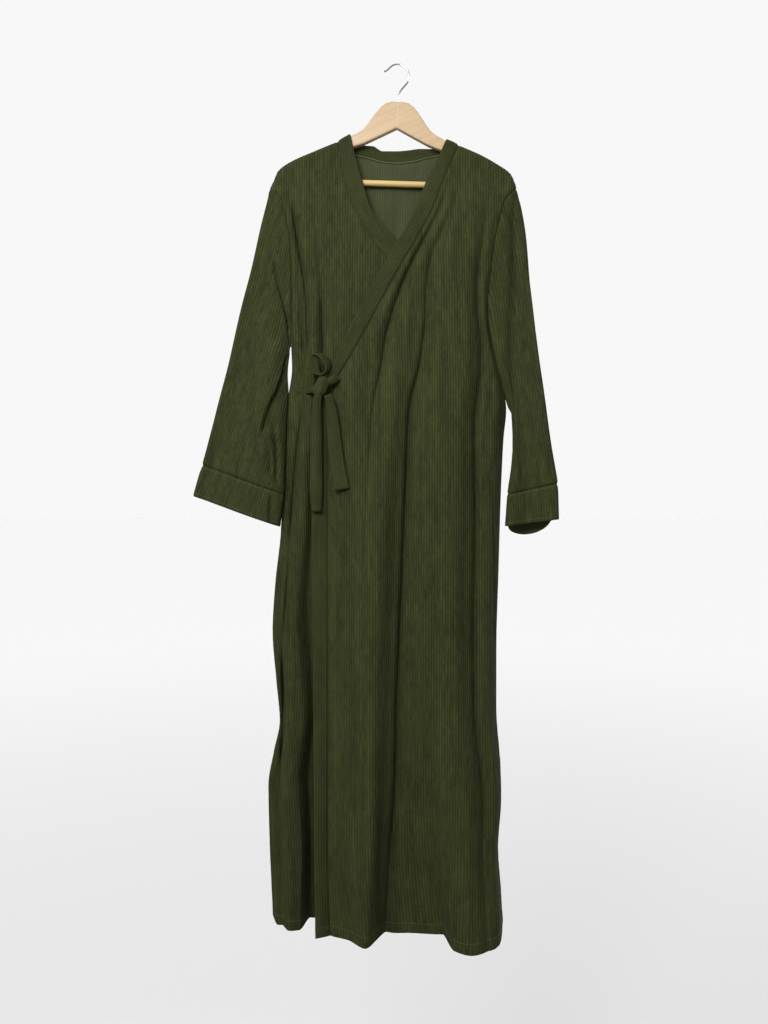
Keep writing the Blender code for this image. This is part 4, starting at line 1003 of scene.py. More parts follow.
def zipped(above: tuple[int, Array], below: tuple[int, Array]) -> list[tuple[int, ...]]:
    """Faces between two rows of points that each lie at rising cloth coordinates.

    Args:
        above, below: each row's first vertex and its coordinates.

    Returns:
        Quads where the rows match, triangles elsewhere.
    """
    (a, ua), (b, ub) = above, below
    ua, ub = ua.tolist(), ub.tolist()
    faces = []
    i = j = 0
    last_i, last_j = len(ua) - 1, len(ub) - 1
    while i < last_i or j < last_j:
        if i < last_i and j < last_j and abs(ua[i + 1] - ub[j + 1]) < SAME_PLACE:
            faces.append((a + i, b + j, b + j + 1, a + i + 1))
            i += 1
            j += 1
        elif j == last_j or (i < last_i and ua[i + 1] < ub[j + 1]):
            faces.append((a + i, b + j, a + i + 1))
            i += 1
        else:
            faces.append((a + i, b + j, b + j + 1))
            j += 1
    return faces


def placed(name: str, data: bpy.types.ID) -> bpy.types.Object:
    """Make an object from a mesh, a lamp or a camera and link it into the scene."""
    made = bpy.data.objects.new(name, data)
    bpy.context.scene.collection.objects.link(made)
    return made


def mesh_object(name: str, vertices: Array, faces: Sequence[Sequence[int]], looks: Sequence[Material],
                slots: Sequence[int], marks: Array, weld: float = 0.0,
                sharp: float = 110.0) -> bpy.types.Object:
    """Make an object whose place is in its mesh, with its faces outward.

    Args:
        name: the piece's name.
        vertices: one row of x, y, z each.
        faces: vertex numbers.
        looks: its materials.
        slots: which material each face has.
        marks: cloth coordinates of each vertex, for its UV map.
        weld: distance below which vertices are merged.
        sharp: angle above which edges stay crisp, in degrees.

    Returns:
        The object, linked into the scene.
    """
    mesh = bpy.data.meshes.new(name)
    mesh.from_pydata(vertices.tolist(), [], faces)
    for look in looks:
        mesh.materials.append(look)
    mesh.polygons.foreach_set("material_index", np.asarray(slots, np.int32))
    layer = mesh.uv_layers.new(name="cloth")
    corners = np.empty(len(mesh.loops), np.int32)
    mesh.loops.foreach_get("vertex_index", corners)
    layer.data.foreach_set("uv", marks[corners].astype(np.float32).ravel())
    work = bmesh.new()
    work.from_mesh(mesh)
    if weld:
        bmesh.ops.remove_doubles(work, verts=work.verts, dist=weld)
    bmesh.ops.dissolve_degenerate(work, dist=SAME_PLACE, edges=work.edges)
    bmesh.ops.recalc_face_normals(work, faces=work.faces)
    if work.calc_volume(signed=True) < 0:
        bmesh.ops.reverse_faces(work, faces=work.faces)
    work.to_mesh(mesh)
    work.free()
    mesh.shade_smooth()
    mesh.set_sharp_from_angle(angle=math.radians(sharp))
    return placed(name, mesh)


@dataclass
class Band:
    """A doubled band between its seam and its fold, slightly puffed, its wales along it."""

    outward: float
    puff: float
    seed: int
    columns: int = 22
    toward_fold: float = 1.5
    fold_radius: float = 0.0016

    def surface(self, start: Array, end: Array, ends_thin: Array) -> Surface:
        """The band's middle surface.

        Args:
            start, end: points at the seam and at the fold, a row each.
            ends_thin: thickness share of each row.

        Returns:
            The surface, its last column at the fold.
        """
        t = 1 - (1 - np.linspace(0, 1, self.columns)) ** self.toward_fold
        grid = start[:, None] + (end - start)[:, None] * t[None, :, None]
        width = np.linalg.norm(end - start, axis=1)[:, None]
        across = width * t[None, :]
        down = rows_like(lengths(start), across)
        thin = rounded(width - across, self.fold_radius, 0.06) * ends_thin[:, None]
        flat = Surface(grid, across, down, self.outward)
        own = uneven(across, down, ((0.0006, 0.02, 0.035, self.seed),))
        push = self.puff * np.sin(math.pi * t) + own * t
        return Surface(grid + flat.normals * push[..., None], across, down, self.outward, thin=thin)

    def down_front(self, edge: Line, depths: Values, rows: Rows, start: Array) -> Surface:
        """The band down a front's free edge, from the shoulder to the hem.

        Args:
            edge: the line of its fold.
            depths: how deep its fold lies, level by level.
            rows: where the rows lie.
            start: the panel's points at the band's seam, a row each.

        Returns:
            Its middle surface.
        """
        z = rows.heights(edge[0][1], HEM_FRONT)[:, 0]
        y = at_level(depths, z, -CAP_RADIUS) * rounded(edge[0][1] - z, CAP_RADIUS)
        return self.surface(start, np.stack([on_line(edge, z), y, z], axis=-1), Panel.hem_thin(z, HEM_FRONT))

    def round_neck(self, stations: int = 140) -> Surface:
        """The band round the back of the neck, a row for each station round it."""
        places = np.linspace(0, len(NECKLINE) - 1, stations)
        start, end = (np.stack([along(range(len(line)), axis, places) for axis in zip(*line)], axis=-1)
                      for line in (NECKLINE, NECK_EDGE))
        return self.surface(start, end, np.ones(stations))


@dataclass
class Ribbon:
    """A strap of the tie: its route, widths and how it turns about its route."""

    name: str
    route: tuple[Triple, ...]
    widths: Values
    rolls: Values
    cups: Values
    stations: int = 60
    columns: int = 18
    side_round: float = 0.0016
    end_round: float = 0.0022

    def surface(self) -> Surface:
        """The strap's middle surface, a row for each station along it."""
        share = np.linspace(0, 1, self.stations)
        route = smooth_route(self.route, share)
        keys = np.linspace(0, 1, len(self.widths))
        width, roll, cup = (along(keys, values, share)[:, None]
                            for values in (self.widths, self.rolls, self.cups))
        ahead = np.gradient(route, axis=0)
        ahead /= np.linalg.norm(ahead, axis=1, keepdims=True)
        front = np.array([0.0, -1.0, 0.0])
        face = front - ahead * (ahead @ front)[:, None]
        face /= np.linalg.norm(face, axis=1, keepdims=True)
        side = np.cross(ahead, face)
        cos, sin = np.cos(np.radians(roll)), np.sin(np.radians(roll))
        side, face = side * cos + face * sin, face * cos - side * sin
        t = np.sin(np.linspace(-math.pi / 2, math.pi / 2, self.columns))
        half = width / 2
        across = half * t
        bow = cup * (1 - t ** 2)
        grid = route[:, None] + side[:, None] * across[..., None] + face[:, None] * bow[..., None]
        run = lengths(route)
        thin = rounded(np.minimum(half - across, half + across), self.side_round, 0.06)
        thin = thin * rounded(run[-1] - run, self.end_round, 0.05)[:, None]
        return Surface(grid, across, rows_like(run, across), 1, thin=thin)


def smooth_route(points: Line, share: Array) -> Array:
    """Points at shares of a smooth spline through a few points."""
    knots = np.asarray(points, float)
    padded = np.concatenate([[2 * knots[0] - knots[1]], knots, [2 * knots[-1] - knots[-2]]])
    t = np.linspace(0, 1, 24, endpoint=False)[:, None]
    fine = [0.5 * (2 * p1 + (p2 - p0) * t + (2 * p0 - 5 * p1 + 4 * p2 - p3) * t ** 2
                   + (3 * p1 - p0 - 3 * p2 + p3) * t ** 3)
            for p0, p1, p2, p3 in zip(padded, padded[1:], padded[2:], padded[3:])]
    fine = np.concatenate([*fine, knots[-1:]])
    runs = lengths(fine)
    return np.stack([np.interp(share * runs[-1], runs, column) for column in fine.T], axis=-1)


@dataclass
class Wiring:
    """Short ways to add linked nodes to one node tree."""

    tree: bpy.types.NodeTree

    def feed(self, node: Node, inputs: dict[str | int, object]) -> Node:
        """Link each input where a socket is given, or set its value, and return the node."""
        for key, value in inputs.items():
            if isinstance(value, Socket):
                self.tree.links.new(value, node.inputs[key])
            else:
                node.inputs[key].default_value = value
        return node

    def node(self, kind: str, inputs: dict[str | int, object] | None = None, **settings: object) -> Node:
        """Add a node.

        Args:
            kind: Blender's name of the node's type.
            inputs: a value or a socket for each input.
            settings: the node's own properties.

        Returns:
            The node.
        """
        made = self.tree.nodes.new(kind)
        for name, value in settings.items():
            setattr(made, name, value)
        return self.feed(made, inputs or {})

    def math(self, operation: str, *values: object, clamp: bool = False) -> Socket:
        """Add a math node and return its result."""
        inputs = dict(enumerate(values))
        return self.node("ShaderNodeMath", inputs, operation=operation, use_clamp=clamp).outputs[0]

    def times(self, a: object, b: object, plus: object | None = None, clamp: bool = False) -> Socket:
        """Add a math node that multiplies.

        Args:
            a, b: what it multiplies.
            plus: what it adds, if anything.
            clamp: whether the result is kept between 0 and 1.

        Returns:
            Its result.
        """
        if plus is None:
            return self.math("MULTIPLY", a, b, clamp=clamp)
        return self.math("MULTIPLY_ADD", a, b, plus, clamp=clamp)

    def own_place(self) -> Socket:
        """Places in the object's own frame."""
        return self.node("ShaderNodeTexCoord").outputs["Object"]

    def camera_ray(self) -> Socket:
        """1 where the camera sees the surface itself, 0 where light bounces."""
        return self.node("ShaderNodeLightPath").outputs["Is Camera Ray"]

    def noise(self, place: object, scale: Values, detail: float, rough: float = 0.55) -> Socket:
        """Add noise.

        Args:
            place: where it is read.
            scale: how often it changes along each axis of the place.
            detail, rough: how many finer layers it has and how strong they are.

        Returns:
            Its value.
        """
        spot = self.node("ShaderNodeMapping", {"Vector": place, "Scale": scale}).outputs["Vector"]
        inputs = {"Vector": spot, "Scale": 1.0, "Detail": detail, "Roughness": rough}
        return self.node("ShaderNodeTexNoise", inputs).outputs["Fac"]

    def mix(self, share: object, a: object, b: object) -> Socket:
        """Blend two colours."""
        return self.node("ShaderNodeMix", {0: share, 6: a, 7: b}, data_type="RGBA").outputs[2]

    def spread(self, value: object, source: Pair, target: Pair) -> Socket:
        """Map a range onto another and clamp it there."""
        inputs = {"Value": value, "From Min": source[0], "From Max": source[1], "To Min": target[0],
                  "To Max": target[1]}
        return self.node("ShaderNodeMapRange", inputs).outputs["Result"]


@dataclass
class NodeGroups:
    """The shader node groups that more than one finish uses, each made once."""

    made: dict[str, bpy.types.NodeTree] = field(default_factory=dict)

    def place(self, wiring: Wiring, name: str, inputs: dict[str, object]) -> Node:
        """Put a group in a material's tree, making it the first time.

        Args:
            wiring: the material's tree.
            name: "rib_nap" or "grain".
            inputs: a value or a socket for each of its inputs.

        Returns:
            The group node.
        """
        if name not in self.made:
            self.made[name] = {"rib_nap": self.rib_nap, "grain": self.grain}[name]()
        return wiring.node("ShaderNodeGroup", inputs, node_tree=self.made[name])

    @staticmethod
    def start(name: str, inputs: dict[str, str], outputs: dict[str, str]) -> tuple[Wiring, Node, Node]:
        """Make an empty group with its sockets.

        Args:
            name: the group's name.
            inputs: Vector, Color or Float for each input's name.
            outputs: the same for the outputs.

        Returns:
            Its wiring, its input node and its output node.
        """
        group = bpy.data.node_groups.new(name, "ShaderNodeTree")
        for sockets, way in ((inputs, "INPUT"), (outputs, "OUTPUT")):
            for socket, kind in sockets.items():
                group.interface.new_socket(socket, in_out=way, socket_type=f"NodeSocket{kind}")
        return Wiring(group), group.nodes.new("NodeGroupInput"), group.nodes.new("NodeGroupOutput")

    @classmethod
    def rib_nap(cls) -> bpy.types.NodeTree:
        """Colour, roughness and pile height of ribbed cloth from its cloth coordinates, with painted shade
        darkening the hollows between the ribs.
        """
        given = {"Cloth": "Vector", "Crest": "Color", "Hollow": "Color", "Pitch": "Float",
                 "Streaks": "Float", "Blotches": "Float", "Roughness": "Float"}
        found = {"Color": "Color", "Roughness": "Float", "Pile": "Float"}
        wiring, start, end = cls.start("rib_nap", given, found)
        cloth = start.outputs["Cloth"]
        split = wiring.node("ShaderNodeSeparateXYZ", {0: cloth}).outputs
        turns = wiring.math("DIVIDE", split["X"], start.outputs["Pitch"])
        rib = wiring.math("ROUND", turns)
        away = wiring.math("ABSOLUTE", wiring.math("SUBTRACT", turns, rib))
        crest = wiring.math("SUBTRACT", 1.0, wiring.math("POWER", wiring.times(away, 2.0), 1.8))
        pile = wiring.spread(wiring.noise(cloth, (620, 150, 1), 3), (0.25, 0.6), (0.55, 1.0))
        crest = wiring.times(crest, pile, clamp=True)
        own = wiring.node("ShaderNodeCombineXYZ", {"X": wiring.times(rib, 7.31), "Y": split["Y"]}).outputs[0]
        streak = wiring.spread(wiring.noise(own, (1, 30, 1), 4, 0.68), (0.28, 0.72), (-1, 1))
        broad = wiring.spread(wiring.noise(cloth, (60, 2.6, 1), 2), (0.3, 0.7), (-1, 1))
        patch = wiring.spread(wiring.noise(cloth, (19, 11, 1), 4, 0.6), (0.28, 0.72), (-1, 1))
        streaks = wiring.times(wiring.times(broad, 0.5, streak), start.outputs["Streaks"])
        tone = wiring.times(patch, start.outputs["Blotches"], wiring.math("ADD", streaks, 1.0))
        # the hollow colour is painted shade between the ribs, blended to the crest colour by how near the
        # crest each point lies
        base = wiring.mix(crest, start.outputs["Hollow"], start.outputs["Crest"])
        hue = wiring.spread(patch, (-1, 1), (0.49, 0.507))
        tinted = wiring.node("ShaderNodeHueSaturation", {"Color": base, "Value": tone, "Hue": hue})
        fuzz = wiring.noise(cloth, (900, 520, 1), 3)
        wiring.feed(end, {"Color": tinted.outputs["Color"], "Pile": wiring.times(fuzz, 0.7, crest),
                          "Roughness": wiring.times(patch, 0.06, start.outputs["Roughness"])})
        return wiring.tree

    @classmethod
    def grain(cls) -> bpy.types.NodeTree:
        """Wood figure along the X axis of the given place."""
        wiring, start, end = cls.start("grain", {"Place": "Vector", "Light": "Color", "Dark": "Color"},
                                       {"Color": "Color", "Figure": "Float"})
        place = start.outputs["Place"]
        slow = wiring.noise(place, (3, 55, 55), 3)
        fibre = wiring.noise(place, (26, 620, 620), 3, 0.6)
        lines = wiring.math("SINE", wiring.times(slow, 34.0, wiring.times(fibre, 2.0)))
        figure = wiring.times(lines, 0.22, wiring.times(fibre, 0.9), clamp=True)
        colour = wiring.mix(figure, start.outputs["Light"], start.outputs["Dark"])
        wiring.feed(end, {"Color": colour, "Figure": figure})
        return wiring.tree


def new_look(name: str, values: dict[str, object] | None = None) -> tuple[Material, Wiring, Node]:
    """Make a material.

    Args:
        name: its name.
        values: inputs of its shader.

    Returns:
        The material, its wiring and its shader.
    """
    look = bpy.data.materials.new(name)
    look.use_nodes = True
    wiring = Wiring(look.node_tree)
    return look, wiring, wiring.feed(look.node_tree.nodes["Principled BSDF"], values or {})


def opaque(tone: Triple) -> Values:
    """A colour with its alpha."""
    return (*tone, 1.0)


@dataclass(frozen=True)
class Corduroy:
    """Olive cotton corduroy: ribs lighter on their crests and painted shade in the hollows between them,
    uneven rib by rib, with a blotchy nap.
    """

    name: str = "corduroy_outer"
    crest: Triple = (0.0345, 0.0395, 0.0131)
    # painted shade: the colour of the hollows between the ribs
    hollow_shade: Triple = (0.0192, 0.0221, 0.0064)
    streaks: float = 0.33
    blotches: float = 0.13
    roughness: float = 0.93
    pile: float = 0.5
    sheen: float = 0.02
    sheen_tint: Triple = (0.62, 0.66, 0.42)

    def build(self, groups: NodeGroups) -> Material:
        """Make the material from the shared group."""
        look, wiring, shader = new_look(self.name, {
            "Sheen Weight": self.sheen, "Sheen Roughness": 0.5, "Sheen Tint": opaque(self.sheen_tint),
            "Specular IOR Level": 0.12})
        cloth = wiring.node("ShaderNodeUVMap", uv_map="cloth").outputs["UV"]
        ribs = groups.place(wiring, "rib_nap", {
            "Cloth": cloth, "Crest": opaque(self.crest), "Hollow": opaque(self.hollow_shade), "Pitch": WALE_PITCH,
            "Streaks": self.streaks, "Blotches": self.blotches, "Roughness": self.roughness}).outputs
        bump = wiring.node("ShaderNodeBump", {"Strength": self.pile, "Distance": 0.0005,
                                              "Height": ribs["Pile"]})
        wiring.feed(shader, {"Base Color": ribs["Color"], "Roughness": ribs["Roughness"],
                             "Normal": bump.outputs["Normal"]})
        return look


@dataclass(frozen=True)
class Thread:
    """Matt twisted sewing thread, a little lighter than the cloth."""

    name: str = "olive_thread"
    light: Triple = (0.088, 0.096, 0.048)
    dark: Triple = (0.050, 0.056, 0.026)

    def build(self) -> Material:
        """Make the material."""
        look, wiring, shader = new_look(self.name)
        twist = wiring.noise(wiring.own_place(), (1500, 1500, 1500), 2)
        wiring.feed(shader, {"Base Color": wiring.mix(twist, opaque(self.dark), opaque(self.light)),
                             "Roughness": wiring.spread(twist, (0, 1), (0.9, 0.65))})
        return look


@dataclass(frozen=True)
class Wood:
    """Pale lacquered wood with a fine straight grain."""

    name: str
    light: Triple
    dark: Triple
    turn: float

    def build(self, groups: NodeGroups) -> Material:
        """Make the material from the shared grain group."""
        look, wiring, shader = new_look(self.name, {
            "Roughness": 0.42, "Coat Weight": 0.12, "Coat Roughness": 0.3})
        turned = wiring.node("ShaderNodeMapping", {"Vector": wiring.own_place(),
                                                   "Rotation": (0.0, self.turn, 0.0)})
        grain = groups.place(wiring, "grain", {"Place": turned.outputs[0], "Light": opaque(self.light),
                                               "Dark": opaque(self.dark)}).outputs
        bump = wiring.node("ShaderNodeBump", {"Strength": 0.12, "Distance": 0.0002,
                                              "Height": grain["Figure"]})
        wiring.feed(shader, {"Base Color": grain["Color"], "Normal": bump.outputs["Normal"]})
        return look


@dataclass(frozen=True)
class PlatedWire:
    """Bright plated steel wire, faintly brushed."""

    name: str = "steel_wire"
    light: Triple = (0.50, 0.49, 0.47)
    dark: Triple = (0.36, 0.35, 0.33)

    def build(self) -> Material:
        """Make the material."""
        look, wiring, shader = new_look(self.name, {"Metallic": 1.0})
        brushed = wiring.noise(wiring.own_place(), (420, 420, 420), 2)
        wiring.feed(shader, {"Roughness": wiring.spread(brushed, (0, 1), (0.2, 0.42)),
                             "Base Color": wiring.mix(brushed, opaque(self.light), opaque(self.dark))})
        return look


@dataclass
class Stitching:
    """Runs of sewing stitches, laid along lines by one geometry node tree."""

    thread: Material
    radius: float = 0.00042
    pitch: float = 0.0040
    length: float = 0.0034
    tree: bpy.types.NodeTree = field(init=False)

    def __post_init__(self) -> None:
        """Build the tree: a stitch on each point of the resampled line, made real and given its thread."""
        self.tree = bpy.data.node_groups.new("stitch_run", "GeometryNodeTree")
        kinds = {"Line": "Geometry", "Pitch": "Float", "Length": "Float", "Radius": "Float",
                 "Thread": "Material"}
        for name, kind in kinds.items():
            self.tree.interface.new_socket(name, in_out="INPUT", socket_type=f"NodeSocket{kind}")
        self.tree.interface.new_socket("Stitches", in_out="OUTPUT", socket_type="NodeSocketGeometry")
        wiring = Wiring(self.tree)
        given = self.tree.nodes.new("NodeGroupInput").outputs
        curve = wiring.node("GeometryNodeMeshToCurve", {"Mesh": given["Line"]}).outputs["Curve"]
        spots = wiring.node("GeometryNodeCurveToPoints", {"Curve": curve, "Length": given["Pitch"]},
                            mode="LENGTH")
        stitch = wiring.node("GeometryNodeMeshUVSphere", {"Segments": 6, "Rings": 5, "Radius": 1.0})
        size = wiring.node("ShaderNodeCombineXYZ", {"X": given["Radius"], "Y": given["Radius"],
                                                    "Z": wiring.times(given["Length"], 0.5)})
        laid = wiring.node("GeometryNodeInstanceOnPoints", {
            "Points": spots.outputs["Points"], "Instance": stitch.outputs["Mesh"],
            "Rotation": spots.outputs["Rotation"], "Scale": size.outputs[0]})
        real = wiring.node("GeometryNodeRealizeInstances", {"Geometry": laid.outputs["Instances"]})
        dressed = wiring.node("GeometryNodeSetMaterial", {"Geometry": real.outputs["Geometry"],
                                                          "Material": given["Thread"]})
        wiring.node("NodeGroupOutput", {"Stitches": dressed.outputs["Geometry"]})

    def run(self, name: str, line: Array) -> None:
        """Sew one run, a plain mesh object in the end.

        Args:
            name: the run's name.
            line: its points, one row each.
        """
        mesh = bpy.data.meshes.new(f"{name}_line")
        mesh.from_pydata(line.tolist(), [(i, i + 1) for i in range(len(line) - 1)], [])
        made = placed(name, mesh)
        modifier = made.modifiers.new("stitches", "NODES")
        modifier.node_group = self.tree
        values = {"Pitch": self.pitch, "Length": self.length, "Radius": self.radius, "Thread": self.thread}
        for item in self.tree.interface.items_tree:
            if item.in_out == "INPUT" and item.name in values:
                modifier[item.identifier] = values[item.name]
        depsgraph = bpy.context.evaluated_depsgraph_get()
        plain = bpy.data.meshes.new_from_object(made.evaluated_get(depsgraph))
        made.modifiers.clear()
        made.data = plain
        plain.shade_smooth()
        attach(made, "root")
        log.info("%s: %d stitch faces", name, len(plain.polygons))


@dataclass
class Garment:
    """The abaya's body, sleeves and bands."""

    outside: Material
    inside: Material
    band: Material
    rows: Rows = field(default_factory=Rows)
    pieces: dict[str, Cloth] = field(default_factory=dict)
    hem: float = 0.019
    hem_stitch: float = 0.0185
    cuff_stitch: float = 0.0040
    cuff_end_stitch: float = 0.0060
    foot_stitches: Pair = (0.0140, 0.0180)
    neck_stitch: float = 0.0032

    front_left: Panel = field(default_factory=lambda: Panel(
        FRONT_LEFT_FOLDS, BAND_SEAM_LEFT, LEFT, SHOULDER_LEFT, -1, 0.15, -0.66, FRONT_LEFT_PINCHES,
        FRONT_LEFT_CREASES))
    front_right: Panel = field(default_factory=lambda: Panel(
        FRONT_RIGHT_FOLDS, BAND_SEAM_RIGHT, RIGHT, SHOULDER_RIGHT, 1, -0.16, creases=FRONT_RIGHT_CREASES))
    back: BackPanel = field(default_factory=lambda: BackPanel(
        BACK_FOLDS, SIDE_RIGHT, RIGHT, SHOULDER_RIGHT, 1, 0.0, creases=BACK_CREASES))
    sleeve_left: Sleeve = field(default_factory=lambda: Sleeve(
        SLEEVE_LEFT_OUTER, SLEEVE_LEFT_INNER, ((0.2985, -0.854), (0.2020, -0.867)), 0.015, -0.010, -0.008,
        0.022, LEFT, 1, (0.23, 0.57), 0.097, (0.25, 0.066), SLEEVE_LEFT_CREASES))
    sleeve_right: Sleeve = field(default_factory=lambda: Sleeve(
        SLEEVE_RIGHT_OUTER, SLEEVE_RIGHT_INNER, ((-0.379, -0.811), (-0.2172, -0.868)), 0.013, -0.012, 0.010,
        0.0, RIGHT, -1, (0.34, 0.53), 0.12, (0.36, 0.061), SLEEVE_RIGHT_CREASES))

    def build(self) -> None:
        left, right = self.front_left.surface(self.rows), self.front_right.surface(self.rows)
        back = self.back.surface(Rows(fine_row=FINE_ROW))
        start_left, start_right = left.points[:, 0].copy(), right.points[:, 0].copy()
        self.sew("front_left", left, (0.42, 1.50), area=0.49, turn_up=self.hem, lining=0.0032)
        self.sew("front_right", right, (0.42, 1.50), area=0.475, turn_up=self.hem, lining=0.0040)
        self.sew("back", back, (0.52, 1.46), area=0.63, turn_up=self.hem)
        down_left = (BAND_EDGE_LEFT, BAND_EDGE_DEPTH_LEFT, self.rows, start_left)
        down_right = (BAND_EDGE_RIGHT, BAND_EDGE_DEPTH_RIGHT, self.rows, start_right)
        for name, surface, flat in (
                ("band_left", Band(1, 0.0007, 21).down_front(*down_left), (0.030, 1.53)),
                ("band_right", Band(-1, 0.0007, 21).down_front(*down_right), (0.030, 1.53)),
                ("band_back", Band(1, 0.0004, 31).round_neck(), (0.028, 0.235))):
            self.sew(name, surface, flat, Hold.FOLDED, thickness=BAND_CLOTH, seams=(Edge.FIRST_COLUMN,))
        for side, sleeve in (("left", self.sleeve_left), ("right", self.sleeve_right)):
            self.sew(f"sleeve_{side}", sleeve.surface(), sleeve.cut, area=sleeve.cut_area,
                     seams=(Edge.TOP, Edge.BOTTOM, *COLUMN_EDGES))
            self.sew(f"cuff_{side}", sleeve.cuff_surface(), sleeve.cuff_cut, seams=(Edge.TOP, *COLUMN_EDGES))

    def stitch(self, stitching: Stitching, neck_stitching: Stitching) -> None:
        """Sew the hems, the cuffs, the foot of the front band and the back of the neck.

        Args:
            stitching: the thread of the hems, the cuffs and the front band.
            neck_stitching: the paler, thicker thread round the back of the neck.
        """
        for name in ("front_left", "front_right", "back"):
            line = self.pieces[name].line(Edge.BOTTOM, self.hem_stitch, 0.01, 0.99)
            stitching.run(f"stitches_hem_{name}", line)
        for side in ("left", "right"):
            cuff = self.pieces[f"cuff_{side}"]
            stitching.run(f"stitches_cuff_{side}", cuff.line(Edge.TOP, self.cuff_stitch))
            stitching.run(f"stitches_cuff_end_{side}", cuff.line(Edge.BOTTOM, self.cuff_end_stitch))
        for number, height in enumerate(self.foot_stitches, start=1):
            foot = self.pieces["band_left"].line(Edge.BOTTOM, height, 0.05, 0.95)
            stitching.run(f"stitches_band_foot_{number}", foot)
        neck = self.pieces["band_back"].line(Edge.FIRST_COLUMN, self.neck_stitch, 0.03, 0.97, inner=True)
        neck_stitching.run("stitches_neck", neck)

    def sew(self, name: str, surface: Surface, flat: Pair, hold: Hold = Hold.HUNG, area: float | None = None,
            **make: object) -> None:
        """Args:
            name: the solid's name.
            surface: its middle surface.
            flat: width and length of its cut; not used.
            hold: how it is held.
            area: the area of the cut where it isn't a rectangle; not used.
            make: how the cloth is made, as Cloth takes it.
        """
        cloth = Cloth(name, surface, **make)
        made = cloth.build(*((self.band, self.band) if hold is Hold.FOLDED else (self.outside, self.inside)))
        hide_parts(name)
        self.pieces[name] = cloth


